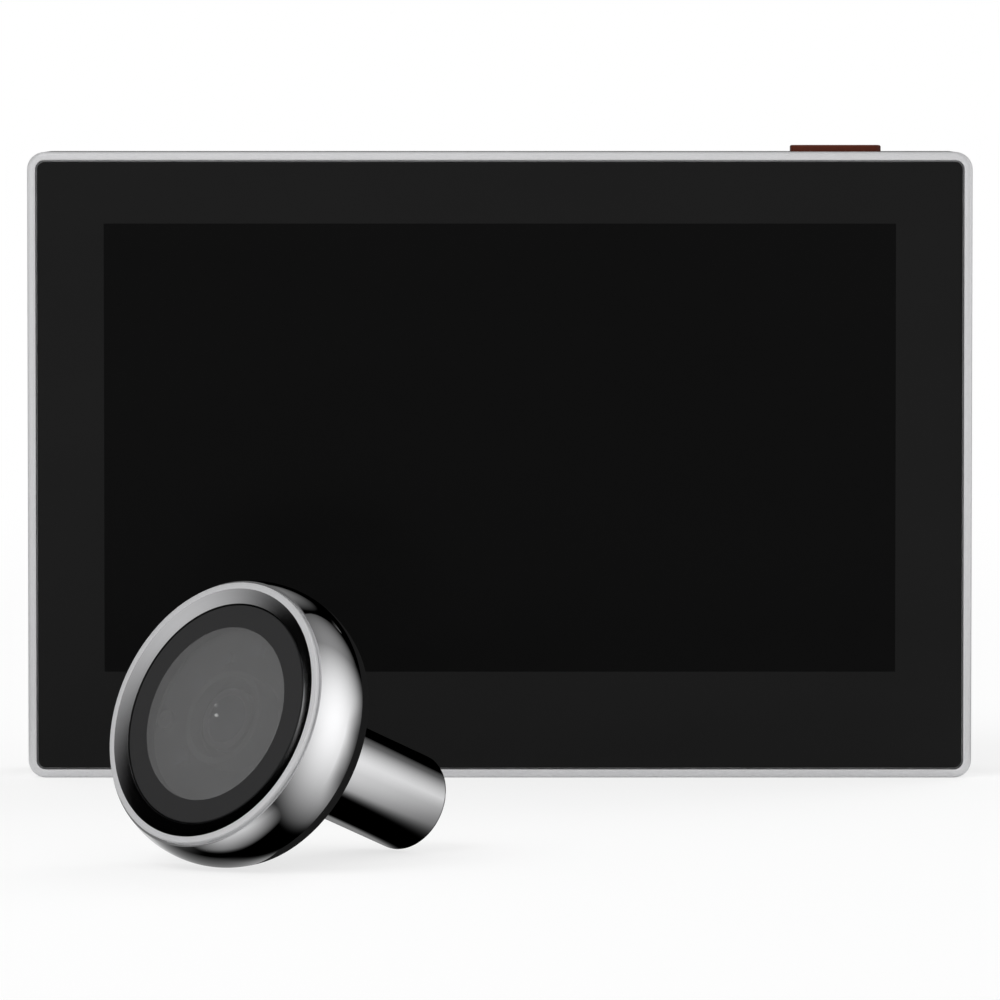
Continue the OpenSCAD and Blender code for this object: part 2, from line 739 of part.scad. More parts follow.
module rear_cover() color("#1b1b1c") {
    difference() {
        union() {
            difference() {
                upright(monitor_w, monitor_h, corner_r, seam_y, back_y, mid_z);
                upright(inner_w, inner_h, inner_r, seam_y - past, inner_back, mid_z);
            }
            difference() {
                upright(lip_w, lip_h, skirt_r, seam_y - lip_d, seam_y + lip_overlap, mid_z);
                upright(lip_w - 2 * lip_wall, lip_h - 2 * lip_wall, inner_r,
                        seam_y - lip_d - past, seam_y + lip_overlap + past, mid_z);
            }
            at_case_screws() bar_y(column_r, post_end, back_y - back_slope);
            span([-pocket_x - floor_wall, pocket_x + floor_wall], [recess_inner, back_y],
                 [pocket_low - floor_wall, pocket_high + floor_wall]);
            flange_room(well_r + well_wall, well_y - well_wall, recess_y);
        }
        back_edge_cuts();
        span([-pocket_x, pocket_x], [recess_y, back_y + past], [pocket_low, pocket_high]);
        flange_room(well_r, well_y, back_y);
        at_case_screws() bar_y(case_screw_r + fit_gap, post_end - past, back_y + past);
        at_case_screws() bar_y(case_head_r + fit_gap, back_y - case_seat, back_y + past);
        grille();
        translate([mic_x, 0, mic_z]) bar_y(mic_hole_r, inner_back - past, back_y + past);
        translate([button_x, button_y, top_inner - past]) linear_extrude(cover_wall + 2 * past)
            rounded_rect(button_w + 2 * slide_gap, button_d + 2 * slide_gap, button_edge + slide_gap);
        button_room();
        span([side_x - past, monitor_w / 2 + past], [board_back - slide_gap, board_back + usb_t + slide_gap],
             [usb_z - usb_w / 2 - slide_gap, usb_z + usb_w / 2 + slide_gap]);
        span([socket_x - socket_w / 2 - slide_gap, socket_x + socket_w / 2 + slide_gap],
             [recess_inner - past, recess_y + past],
             [socket_z - socket_h / 2 - slide_gap, socket_z + socket_h / 2 + slide_gap]);
    }
    for (x = [-pocket_x, keeper_x], z = [-1, 1])
        span([x, x + pocket_x - keeper_x], [keeper_y, back_y],
             [bracket_z + z * tab_z - tab_h / 2, bracket_z + z * tab_z + tab_h / 2]);
}

module case_screws() color("#6e6e70") at_case_screws()
    translate([0, case_tip_y, 0]) rotate([-90, 0, 0])
        screw(case_screw_r, back_y - case_seat - case_tip_y, case_head_r, case_head_t);

// Door bracket

module bracket_plate() color("#9da0a4") difference() {
    union() {
        upright(plate_w, plate_h, corner_r, plate_y, plate_back, bracket_z);
        for (z = [-1, 1])
            span([-bracket_x, bracket_x], [plate_y, plate_back],
                 [bracket_z + z * tab_z - tab_h / 2, bracket_z + z * tab_z + tab_h / 2]);
    }
    translate([0, 0, bracket_z]) bar_y(bolt_neck_r + run_gap, plate_y - past, plate_back + past);
}

module bracket_pad() color("#2c2c2e") difference() {
    upright(plate_w - 2 * pad_inset, plate_h - 2 * pad_inset, corner_r, plate_back, pad_back, bracket_z);
    translate([0, 0, bracket_z]) bar_y(pad_hole_r, plate_back - past, pad_back + past);
}

module clamp_bolt() color("#b4b6b8") translate([0, 0, bracket_z]) difference() {
    union() {
        bar_y(bolt_r, bolt_under, bolt_end);
        bar_y(bolt_neck_r, bolt_under, bolt_neck_end);
        bar_y(bolt_flange_r, bolt_under - bolt_flange_t, bolt_under);
    }
    bar_y(bolt_bore_r, bolt_under - bolt_flange_t - past, bolt_end + past);
    span([-bolt_flange_r - past, bolt_flange_r + past],
         [bolt_under - bolt_flange_t - past, bolt_under - bolt_flange_t + bolt_slot_d],
         [-bolt_slot_w / 2, bolt_slot_w / 2]);
}

// Camera unit, outside

module head_shell() color("#c9cbcd") lying() difference() {
    rotate_extrude() intersection() {
        translate([arc_r, arc_z]) circle(r = dome_r);
        square([head_r + past, ring_seat]);
    }
    translate([0, 0, head_floor]) cylinder(r = cavity_r, h = head_d);
    translate([0, 0, -past]) cylinder(r = barrel_neck_r + run_gap, h = head_d);
    translate([0, 0, -past]) difference() {
        cylinder(r = door_pad_r, h = door_pad_in + past);
        cylinder(r = door_pad_bore_r, h = door_pad_in + past);
    }
    round_the_axis(3, barrel_screw_at) translate([0, 0, head_floor - barrel_screw_in])
        cylinder(r = barrel_screw_r + fit_gap / 2, h = head_d);
}

module bezel_ring() color("#d6d7d8") lying() rotate_extrude() difference() {
    union() {
        translate([ledge_r, ring_seat]) square([ring_r - ledge_r, ring_t]);
        translate([ledge_r, spigot_low]) square([spigot_r - ledge_r, ring_seat - spigot_low]);
    }
    translate([0, ledge_z]) square([window_bore_r, head_d]);
    polygon([[window_bore_r, ring_seat], [bevel_r, head_d], [window_bore_r, head_d]]);
}

module camera_window() color("#2d2d2e") lying()
    translate([0, 0, window_back]) cylinder(r = window_r, h = window_t);

module window_seal() color("#101010") lying() ring(window_r, ledge_r, ledge_z, window_back);

module barrel() color("#cfd1d3") lying() difference() {
    union() {
        translate([0, 0, -barrel_l]) cylinder(r = barrel_r, h = barrel_l);
        cylinder(r = barrel_neck_r, h = flange_z);
        translate([0, 0, head_floor]) cylinder(r = barrel_flange_r, h = barrel_flange_t);
    }
    translate([0, 0, -barrel_l - past]) cylinder(r = thread_r, h = thread_l + past);
    translate([0, 0, -barrel_l]) cylinder(r = barrel_bore_r, h = barrel_l + head_d);
    round_the_axis(3, barrel_screw_at) {
        cylinder(r = barrel_screw_r + fit_gap, h = head_d);
        translate([0, 0, flange_z - barrel_screw_head_t])
            cylinder(r = barrel_screw_head_r + fit_gap, h = head_d);
    }
}

module barrel_screws() color("#8a8a8a") lying() round_the_axis(3, barrel_screw_at)
    translate([0, 0, head_floor - barrel_screw_in])
        screw(barrel_screw_r, barrel_screw_in + barrel_flange_t - barrel_screw_head_t,
              barrel_screw_head_r, barrel_screw_head_t);

module cable_grommet() color("#1c1c1c") lying()
    ring(barrel_bore_r, grommet_hole_r, thread_l - barrel_l, thread_l - barrel_l + grommet_l);

module door_pad() color("#222222") lying()
    ring(door_pad_r - fit_gap, door_pad_bore_r + fit_gap, door_pad_in - door_pad_t, door_pad_in);

// Camera unit, inside

module module_carrier() color("#262626") lying() difference() {
    ring(carrier_r, carrier_bore_r, head_floor, carrier_top);
    round_the_axis(3, module_screw_at, 60) translate([0, 0, carrier_top - module_screw_in])
        cylinder(r = module_screw_r + fit_gap / 2, h = head_d);
}

module sensor_board() color("#1d5a36") lying() difference() {
    translate([0, 0, carrier_top]) cylinder(r = sensor_board_r, h = sensor_board_t);
    round_the_axis(3, module_screw_at, 60) cylinder(r = module_screw_r + fit_gap, h = head_d);
}

module module_screws() color("#9a9a9a") lying() round_the_axis(3, module_screw_at, 60)
    translate([0, 0, carrier_top - module_screw_in])
        screw(module_screw_r, module_screw_in + sensor_board_t, module_screw_head_r, module_screw_head_t);

module board_header() color("#e6e2d6") lying()
    translate([-header_w / 2, -header_h / 2, carrier_top - header_t]) cube([header_w, header_h, header_t]);

module image_sensor() color("#3b4656") lying()
    translate([-sensor_w / 2, -sensor_w / 2, board_front]) cube([sensor_w, sensor_w, sensor_t]);

module lens_holder() color("#202020") lying() difference() {
    translate([0, 0, board_front]) cylinder(r = holder_r, h = holder_h);
    translate([0, 0, board_front - past]) cylinder(r = holder_room_r, h = lens_low - board_front + past);
    translate([0, 0, board_front]) cylinder(r = lens_r + fit_gap, h = head_d);
}

module ir_filter() color("#7a3b4a") lying()
    translate([0, 0, filter_z]) cylinder(r = filter_r, h = filter_t);

module lens_barrel() color("#181818") lying() difference() {
    translate([0, 0, lens_low]) cylinder(r = lens_r, h = lens_top - lens_low);
    translate([0, 0, front_lens_low]) cylinder(r = front_lens_r, h = head_d);
}

module front_lens() color("#35506e") lying() union() {
    translate([0, 0, front_lens_low]) cylinder(r = front_lens_r, h = lens_top - front_lens_low);
    intersection() {
        translate([0, 0, lens_top]) cylinder(r = front_lens_r, h = front_lens_rise + past);
        translate([0, 0, lens_top + front_lens_rise - front_lens_sphere_r]) sphere(r = front_lens_sphere_r);
    }
}

module lens_shroud() color("#141414") lying()
    ring(shroud_r + shroud_wall, shroud_r, board_front, shroud_top);

module ir_lamps() color("#5a5f6a") lying() round_the_axis(lamp_count, lamp_at, 90)
    translate([-lamp_w / 2, -lamp_w / 2, board_front]) cube([lamp_w, lamp_w, lamp_t]);

module light_sensor() color("#d8d2c0") lying() round_the_axis(1, lamp_at, 90 + 180 / lamp_count)
    translate([-light_sensor_w / 2, -light_sensor_w / 2, board_front])
        cube([light_sensor_w, light_sensor_w, light_sensor_t]);

front_frame();
cover_glass();
glass_tape();
display_gasket();
lcd_panel();
backlight();
display_flex();
chassis_plate();
chassis_screws();
main_board();
board_screws();
soc_shield();
wifi_module();
usb_socket();
camera_socket();
switch_body();
switch_plunger();
button_cap();
battery();
battery_pad();
speaker();
speaker_gasket();
microphone();
mic_boot();
antenna();
rear_cover();
case_screws();
bracket_plate();
bracket_pad();
clamp_bolt();
head_shell();
bezel_ring();
camera_window();
window_seal();
barrel();
barrel_screws();
cable_grommet();
door_pad();
module_carrier();
sensor_board();
module_screws();
board_header();
image_sensor();
lens_holder();
ir_filter();
lens_barrel();
front_lens();
lens_shroud();
ir_lamps();
light_sensor();
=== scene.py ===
# %% [markdown]
# The imported model of the door camera comes in as a fixed frame: every solid sits at its real place,
# in metres, and moves with its own body.

# %% Load the frame
import json
from math import acos, asin, atan2, ceil, cos, hypot, pi, radians, sin, tan

import bmesh
import bpy
from mathutils import Matrix, Vector


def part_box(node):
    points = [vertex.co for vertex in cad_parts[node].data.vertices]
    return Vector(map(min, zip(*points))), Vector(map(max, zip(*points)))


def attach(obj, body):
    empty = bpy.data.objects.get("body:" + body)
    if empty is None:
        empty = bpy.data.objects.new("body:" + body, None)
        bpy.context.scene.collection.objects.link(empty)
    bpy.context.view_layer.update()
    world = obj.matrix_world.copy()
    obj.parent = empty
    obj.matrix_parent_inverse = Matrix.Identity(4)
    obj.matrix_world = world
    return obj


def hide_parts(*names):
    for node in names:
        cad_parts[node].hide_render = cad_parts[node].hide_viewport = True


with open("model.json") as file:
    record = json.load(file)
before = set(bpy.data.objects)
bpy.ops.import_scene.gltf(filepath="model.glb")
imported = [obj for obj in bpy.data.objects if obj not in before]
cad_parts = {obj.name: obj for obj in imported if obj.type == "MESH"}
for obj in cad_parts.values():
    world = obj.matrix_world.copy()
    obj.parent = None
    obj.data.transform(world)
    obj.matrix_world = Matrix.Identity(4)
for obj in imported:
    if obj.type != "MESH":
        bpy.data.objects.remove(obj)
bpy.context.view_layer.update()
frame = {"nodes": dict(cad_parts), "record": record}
MM = 0.001
scene = bpy.context.scene
mounts = {mount["name"]: mount for mount in frame["record"]["mounts"]}


def in_mm(*lengths):
    """Lengths as rounded millimetres, to print them."""
    return [round(length / MM, 2) for length in lengths]


# %% [markdown]
# The monitor stands upright, so its sizes can be read straight off the boxes of its solids.
# The camera unit lies tilted, so its axis comes from the barrel's mount instead: the door face is half a
# barrel length in front of the barrel's middle. A matrix then places anything that is turned on that axis.

# %% Places and sizes from the frame
frame_low, frame_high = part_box("front_frame")
glass_low, glass_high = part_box("cover_glass")
monitor_w = frame_high.x - frame_low.x
monitor_h = frame_high.z - frame_low.z
front_y = frame_low.y
seam_y = frame_high.y
middle_z = monitor_h / 2

barrel_mount = mounts["camera_barrel"]
barrel_back = Vector(barrel_mount["axis"])
barrel_l = barrel_mount["dims"]["length_mm"] * MM
door_face = Vector(barrel_mount["pos_m"]) - barrel_back * barrel_l / 2
unit_front = -barrel_back
unit_side = Vector((0, 0, 1)).cross(unit_front).normalized()
unit_up = unit_front.cross(unit_side)
lying = Matrix((unit_side, unit_up, unit_front)).transposed().to_4x4()
lying.translation = door_face


def turned_size(node):
    """Largest radius, lowest and highest place of a node along the camera unit's axis."""
    back_to_axis = lying.inverted()
    points = [back_to_axis @ vertex.co for vertex in frame["nodes"][node].data.vertices]
    return max(hypot(p.x, p.y) for p in points), min(p.z for p in points), max(p.z for p in points)


head_r, _, ring_seat = turned_size("head_shell")
ring_r, spigot_low, head_d = turned_size("bezel_ring")
window_r, window_back, window_front = turned_size("camera_window")
barrel_r = barrel_mount["dims"]["r_mm"] * MM
print("monitor mm:", in_mm(monitor_w, monitor_h), "head radius mm:", in_mm(head_r))

# %% [markdown]
# The picture was taken with a long lens from a little above the table, which is why the monitor's sides
# stay parallel. A camera one metre away that looks slightly down gives the same view with no lens shift.
# The focal length follows from the width of picture that has to fit on the monitor's front plane.

# %% Camera
PICTURE_PX = 1000
MONITOR_LEFT_PX, MONITOR_RIGHT_PX = 27.7, 972.0
TABLE_LINE_PX = 778.5
VIEW_DISTANCE = 1.0
EYE_HEIGHT = 0.082
VIEW_FAR_END = 50.0
SENSOR_W = 36.0

pixel = monitor_w / (MONITOR_RIGHT_PX - MONITOR_LEFT_PX)
eye_x = (PICTURE_PX - MONITOR_LEFT_PX - MONITOR_RIGHT_PX) / 2 * pixel
eye = Vector((eye_x, front_y - VIEW_DISTANCE, EYE_HEIGHT))
aim = Vector((eye_x, front_y, (TABLE_LINE_PX - PICTURE_PX / 2) * pixel))
camera_data = bpy.data.cameras.new("picture_camera")
camera_data.sensor_width = SENSOR_W
camera_data.lens = (aim - eye).length / pixel / PICTURE_PX * SENSOR_W
camera_data.clip_end = VIEW_FAR_END
camera = bpy.data.objects.new("picture_camera", camera_data)
camera.location = eye
camera.rotation_euler = (aim - eye).to_track_quat("-Z", "Y").to_euler()
scene.collection.objects.link(camera)
scene.camera = camera
scene.view_settings.view_transform = "Standard"
print("lens mm:", round(camera_data.lens, 1))

# %% [markdown]
# A shader is a small graph of nodes, which is long to write out node by node. One helper adds a node and
# feeds its sockets with numbers or with other nodes' outputs, and the others wrap the calculations that come
# up again and again. They work on a material as well as on the world.

# %% Node helpers
def feed(owner, socket, value):
    """Gives a socket a constant, or joins it to another node's output."""
    if isinstance(value, bpy.types.NodeSocket):
        owner.node_tree.links.new(value, socket)
    else:
        socket.default_value = value


def add_node(owner, kind, sockets=None, **settings):
    """A new node in a material or a world, with its settings made and its sockets fed."""
    node = owner.node_tree.nodes.new(kind)
    for key, value in settings.items():
        setattr(node, key, value)
    for key, value in (sockets or {}).items():
        feed(owner, node.inputs[key], value)
    return node


def calculate(owner, operation, first, second):
    return add_node(owner, "ShaderNodeMath", {0: first, 1: second}, operation=operation).outputs[0]


def vector_math(owner, operation, first, second=(0, 0, 0)):
    """The outputs of a calculation with vectors: output 0 is a vector, Value a number."""
    return add_node(owner, "ShaderNodeVectorMath", {0: first, 1: second}, operation=operation).outputs


def rescale(owner, value, low, high, to_low=0.0, to_high=1.0, soft=True):
    """A value taken from one range to another, with eased ends where it is soft."""
    sockets = {"Value": value, "From Min": low, "From Max": high, "To Min": to_low, "To Max": to_high}
    course = "SMOOTHSTEP" if soft else "LINEAR"
    return add_node(owner, "ShaderNodeMapRange", sockets, interpolation_type=course).outputs["Result"]


def own_places(owner):
    return add_node(owner, "ShaderNodeTexCoord").outputs["Object"]


print("node helpers ready")

# %% [markdown]
# These helpers build the common parts of a finish: one starts a material, two give places on the piece in its
# own metres, and the others turn a noise into colour, gloss or a raised grain.
# A piece's own coordinates travel with it, so a grain never slides when the piece moves.

# %% Material helpers
NOISE_LOW, NOISE_HIGH = 0.3, 0.7


def start_material(name, metallic=0.0, **sockets):
    """A new material, and the shader whose constant sockets are set by name."""
    material = bpy.data.materials.new(name)
    material.use_nodes = True
    shader = material.node_tree.nodes["Principled BSDF"]
    shader.inputs["Metallic"].default_value = metallic
    for socket, value in sockets.items():
        shader.inputs[socket.replace("_", " ")].default_value = value
    return material, shader


def piece_places(material, stretch=(1, 1, 1)):
    """Places on the piece in metres, stretched along its own axes."""
    sockets = {"Vector": own_places(material), "Scale": stretch}
    return add_node(material, "ShaderNodeMapping", sockets).outputs["Vector"]


def turned_places(material):
    """Places that only know the distance from the piece's Z axis and along it, for lines left by turning."""
    split = add_node(material, "ShaderNodeSeparateXYZ", {0: own_places(material)}).outputs
    level = add_node(material, "ShaderNodeCombineXYZ", {"X": split["X"], "Y": split["Y"]}).outputs[0]
    radius = vector_math(material, "LENGTH", level)["Value"]
    return add_node(material, "ShaderNodeCombineXYZ", {"X": radius, "Y": split["Z"]}).outputs[0]


def noise_on(material, places, per_metre, detail=3.0):
    sockets = {"Vector": places, "Scale": per_metre, "Detail": detail}
    return add_node(material, "ShaderNodeTexNoise", sockets).outputs["Fac"]


def shade(colour, share):
    return tuple(min(channel * share, 1.0) for channel in colour)


def colour_from(material, shader, value, colour, low_share, high_share):
    ramp = add_node(material, "ShaderNodeValToRGB", {"Fac": value})
    stops = zip(ramp.color_ramp.elements, (NOISE_LOW, NOISE_HIGH), (low_share, high_share))
    for element, place, share in stops:
        element.position = place
        element.color = (*shade(colour, share), 1)
    feed(material, shader.inputs["Base Color"], ramp.outputs["Color"])


def gloss_from(material, shader, value, low, high):
    gloss = rescale(material, value, NOISE_LOW, NOISE_HIGH, low, high, soft=False)
    feed(material, shader.inputs["Roughness"], gloss)


def raise_grain(material, shader, value, height, strength=1.0):
    sockets = {"Strength": strength, "Distance": height, "Height": value}
    feed(material, shader.inputs["Normal"], add_node(material, "ShaderNodeBump", sockets).outputs["Normal"])


print("material helpers ready")

# %% [markdown]
# Most of the pieces share one recipe: a colour that wanders a little, a gloss that wanders with it and a
# fine grain. The recipe's numbers make it moulded plastic, rubber, foam, foil or sheet metal. Turned metal
# has rings in place of grains, and glass or chrome only a faint haze.
# Grain sizes are given per metre, so 4000 means grains of about a quarter of a millimetre.

# %% The common recipe
GRAIN_GLOSS, LINE_GLOSS = 0.05, 0.06


def grained(name, colour, roughness, per_metre, height, spread=0.12, metallic=0.0, stretch=(1, 1, 1),
            **sockets):
    """A finish with a wandering colour, a wandering gloss and a fine raised grain."""
    material, shader = start_material(name, metallic, **sockets)
    grain = noise_on(material, piece_places(material, stretch), per_metre)
    colour_from(material, shader, grain, colour, 1 - spread, 1 + spread)
    gloss_from(material, shader, grain, roughness - GRAIN_GLOSS, roughness + GRAIN_GLOSS)
    raise_grain(material, shader, grain, height)
    return material


def turned_metal(name, colour, roughness, lines_per_metre, height, spread=0.06, metallic=1.0):
    """Metal finished on a lathe: fine rings round the piece's own axis."""
    material, shader = start_material(name, metallic)
    lines = noise_on(material, turned_places(material), lines_per_metre, detail=2.0)
    colour_from(material, shader, lines, colour, 1 - spread, 1 + spread)
    gloss_from(material, shader, lines, roughness - LINE_GLOSS, roughness + LINE_GLOSS)
    raise_grain(material, shader, lines, height, strength=0.5)
    return material


def hazed(name, colour, gloss, per_metre, spread, detail=4.0, metallic=0.0, stretch=(1, 1, 1), **sockets):
    """A smooth finish: a faint haze changes its colour and its gloss a little, and nothing is raised."""
    material, shader = start_material(name, metallic, **sockets)
    haze = noise_on(material, piece_places(material, stretch), per_metre, detail)
    colour_from(material, shader, haze, colour, 1 - spread, 1 + spread)
    gloss_from(material, shader, haze, *gloss)
    return material


print("recipes: grained, turned_metal, hazed")

# %% [markdown]
# These are the finishes that the picture shows. The rim is a satin silver with a blasted grain, the glass is
# almost black with an even darker screen, and the button is a red-brown gloss moulding.
# The glass is coated against glare, so its specular level is low and the white room hardly shows in it.

# %% Finishes of the monitor's front
satin_silver = grained("satin_silver", (0.68, 0.68, 0.69), 0.34, 9000, 0.000004, spread=0.03, metallic=0.3)
button_brown = grained("button_brown", (0.104, 0.0205, 0.009), 0.42, 5000, 0.000006,
                       Specular_IOR_Level=0.15)


def dark_glass(name, colour):
    """Coated cover glass over something dark, with faint wipe marks."""
    return hazed(name, colour, (0.12, 0.18), 1.0, 0.04, stretch=(30, 1, 90),
                 Specular_IOR_Level=0.014, IOR=1.5)


glass_border = dark_glass("glass_border", (0.0128, 0.0128, 0.0128))
screen_off = dark_glass("screen_off", (0.0046, 0.0046, 0.0046))
print("front finishes:", satin_silver.name, glass_border.name, screen_off.name, button_brown.name)

# %% [markdown]
# The outdoor unit is polished chrome with a satin ring. Chrome has hardly any colour of its own: what it
# shows is the studio round it, so its gloss is very fine, with a trace of haze, and nothing is raised.
# The window is smoked glass with a dark printed border, and lets the lens behind it show faintly.

# %% Finishes of the camera unit
SEE_THROUGH = 0.45
polished_chrome = hazed("polished_chrome", (0.87, 0.87, 0.88), (0.04, 0.06), 180, 0.015, metallic=1.0)
satin_ring = turned_metal("satin_ring", (0.66, 0.66, 0.67), 0.34, 16000, 0.000004, metallic=0.3)
ring_bevel = turned_metal("ring_bevel", (0.62, 0.62, 0.63), 0.13, 16000, 0.000002)
window_border = dark_glass("window_border", (0.030, 0.030, 0.0305))
window_smoke = hazed("window_smoke", (0.165, 0.165, 0.166), (0.05, 0.09), 260, 0.03, detail=3.0,
                     Specular_IOR_Level=0.25, IOR=1.5, Alpha=1 - SEE_THROUGH)
print("camera unit finishes:", polished_chrome.name, satin_ring.name, window_smoke.name)

# %% [markdown]
# The back of the monitor and the door bracket are not in the picture, so they get what such products have:
# a black moulding with a spark-eroded grain, zinc plated sheet, a turned steel bolt and closed-cell foam.

# %% Finishes of the back
def spark_moulding(name, colour, pebbles_per_metre, pebble_height):
    """Black moulding with the pebbled grain of a spark-eroded mould."""
    material, shader = start_material(name)
    places = piece_places(material)
    sockets = {"Vector": places, "Scale": pebbles_per_metre}
    pebbles = add_node(material, "ShaderNodeTexVoronoi", sockets, feature="SMOOTH_F1").outputs["Distance"]
    wander = noise_on(material, places, 60, detail=5.0)
    colour_from(material, shader, wander, colour, 0.85, 1.2)
    gloss_from(material, shader, wander, 0.46, 0.58)
    raise_grain(material, shader, pebbles, pebble_height, strength=0.6)
    return material


cover_black = spark_moulding("cover_black", (0.013, 0.013, 0.0135), 3200, 0.00002)
bracket_steel = grained("bracket_steel", (0.40, 0.41, 0.43), 0.38, 30, 0.000003, spread=0.08, metallic=1.0,
                        stretch=(2, 400, 400))
bolt_steel = turned_metal("bolt_steel", (0.50, 0.51, 0.52), 0.28, 9000, 0.000004)
pad_foam = grained("pad_foam", (0.026, 0.026, 0.027), 0.9, 2600, 0.00012, spread=0.3)
rubber_black = grained("rubber_black", (0.010, 0.010, 0.010), 0.7, 4000, 0.00001, spread=0.2)
screw_steel = turned_metal("screw_steel", (0.42, 0.42, 0.43), 0.4, 12000, 0.000003, metallic=0.6)
print("back finishes ready")

# %% [markdown]
# Inside, each piece keeps its solid and gets the finish of its real counterpart: green boards with copper
# under the mask, tinned shields, black packages, a foil pouch. They show where a hole or a gap opens.

# %% Finishes of the inside
def board_mask(name, colour, bands_per_metre=260):
    """Solder mask over copper: straight bands of a lighter tone where the copper runs."""
    material, shader = start_material(name, Roughness=0.3)
    tones = {"Color1": 1.0, "Color2": 1.35, "Mortar": 0.7}
    sockets = {socket: (*shade(colour, share), 1) for socket, share in tones.items()}
    sockets |= {"Vector": piece_places(material), "Scale": bands_per_metre, "Mortar Size": 0.03}
    bands = add_node(material, "ShaderNodeTexBrick", sockets)
    feed(material, shader.inputs["Base Color"], bands.outputs["Color"])
    raise_grain(material, shader, bands.outputs["Fac"], 0.00002)
    return material


# Colour, roughness, grains per metre and their height, then spread, metal and stretch where a finish has them
INNER_RECIPES = {
    "adhesive_tape": ((0.011, 0.011, 0.011), 0.6, 3000, 0.00001),
    "lcd_dark": ((0.006, 0.006, 0.006), 0.25, 900, 0.000002),
    "tray_metal": ((0.6, 0.6, 0.58), 0.4, 40, 0.000004, 0.12, 1.0, (2, 200, 200)),
    "ribbon_amber": ((0.45, 0.17, 0.03), 0.3, 500, 0.00001, 0.12, 0.0, (6, 1, 1)),
    "chassis_plastic": ((0.04, 0.04, 0.04), 0.55, 3500, 0.00001),
    "shield_metal": ((0.5, 0.52, 0.53), 0.35, 60, 0.000004, 0.12, 1.0),
    "chip_black": ((0.03, 0.033, 0.04), 0.4, 5000, 0.000006),
    "connector_cream": ((0.78, 0.74, 0.66), 0.5, 3000, 0.000006, 0.05),
    "switch_black": ((0.025, 0.025, 0.025), 0.5, 4000, 0.000006),
    "battery_foil": ((0.48, 0.5, 0.54), 0.42, 700, 0.00003, 0.12, 1.0),
    "pad_white": ((0.8, 0.8, 0.76), 0.85, 2500, 0.00008, 0.06),
    "speaker_grey": ((0.07, 0.07, 0.07), 0.45, 3000, 0.000008),
    "lens_black": ((0.02, 0.02, 0.02), 0.4, 6000, 0.000004),
    "lamp_epoxy": ((0.1, 0.11, 0.14), 0.2, 900, 0.000004),
}
lens_glass = grained("lens_glass", (0.03, 0.035, 0.05), 0.07, 300, 0.0, spread=0.1, IOR=1.5)
inner_finishes = {name: grained(name, *recipe) for name, recipe in INNER_RECIPES.items()}
inner_finishes |= {
    "board_green": board_mask("board_green", (0.02, 0.11, 0.05)), "lens_glass": lens_glass,
    "screw_steel": screw_steel, "rubber_black": rubber_black, "cover_black": cover_black,
    "bracket_steel": bracket_steel,
}
print("inner finishes:", len(inner_finishes))

# %% [markdown]
# Every solid has a material slot in the record, which says what it is made of. Solids that stay in view, or
# sit inside, take the finish with their slot's name, and three behind the camera window get one of their own.
# Pieces that are modelled anew come later.

# %% Dress the solids
slot_of = {part["node"]: part["material_slot"] for part in frame["record"]["subparts"]}
own_finish = {
    "sensor_board": board_mask("board_black", (0.03, 0.03, 0.03)),
    "lens_barrel": turned_metal("lens_rim", (0.5, 0.5, 0.5), 0.4, 5000, 0.00001),
    "lens_shroud": grained("lens_shroud", (0.12, 0.12, 0.12), 0.5, 5000, 0.00001),
}
dressed = 0
for node, solid in frame["nodes"].items():
    finish = own_finish.get(node, inner_finishes.get(slot_of[node]))
    if finish is not None:
        solid.data.materials.clear()
        solid.data.materials.append(finish)
        dressed += 1
print("solids dressed:", dressed)

# %% [markdown]
# Almost every outer piece here is a stack of closed outlines joined by a skin: rounded rectangles for the
# monitor, circles for whatever was turned. One function skins such a stack, and another makes a piece of the
# skin: it joins points that coincide, turns the faces outwards and keeps the sharp edges sharp.

# %% Mesh helpers
SAME_PLACE = 1e-7


def new_object(name, points, faces, materials):
    """A new object in the scene, from points and faces."""
    mesh = bpy.data.meshes.new(name)
    mesh.from_pydata(points, [], faces)
    for material in materials:
        mesh.materials.append(material)
    thing = bpy.data.objects.new(name, mesh)
    scene.collection.objects.link(thing)
    return thing


def mesh_piece(name, body, materials, points, faces, face_finish=None, place=None, smooth_angle=35):
    """A piece from points and faces, riding on a body, with flat faces kept flat."""
    piece = new_object(name, points, faces, materials)
    mesh = piece.data
    if face_finish:
        mesh.polygons.foreach_set("material_index", face_finish)
    work = bmesh.new()
    work.from_mesh(mesh)
    bmesh.ops.remove_doubles(work, verts=work.verts, dist=SAME_PLACE)
    bmesh.ops.recalc_face_normals(work, faces=work.faces)
    for edge in work.edges:
        edge.smooth = len(edge.link_faces) == 2 and edge.calc_face_angle(0) < radians(smooth_angle)
    for face in work.faces:
        face.smooth = True
    work.to_mesh(mesh)
    work.free()
    if place is not None:
        piece.matrix_world = place
    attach(piece, body)
    return piece


def skin(loops, cap_first=False, cap_last=False, closed=False):
    """Points and faces of a skin over a stack of outlines that have as many points each."""
    count = len(loops[0])
    points = [point for loop in loops for point in loop]
    faces = []
    for i in range(len(loops) if closed else len(loops) - 1):
        low, high = i * count, (i + 1) % len(loops) * count
        for j in range(count):
            k = (j + 1) % count
            faces.append((low + j, low + k, high + k, high + j))
    if cap_first:
        faces.append(tuple(range(count)))
    if cap_last:
        faces.append(tuple(range(len(points) - count, len(points))))
    return points, faces


print("mesh helpers ready")

# %% [markdown]
# A real edge always has a small radius that catches the light. So the corners of a section are rounded by
# arcs before it is used, and the outlines of the monitor's pieces are rounded rectangles.

# %% Rounded outlines
LEAST_R, LEAST_SIDE = 1e-5, 1e-6


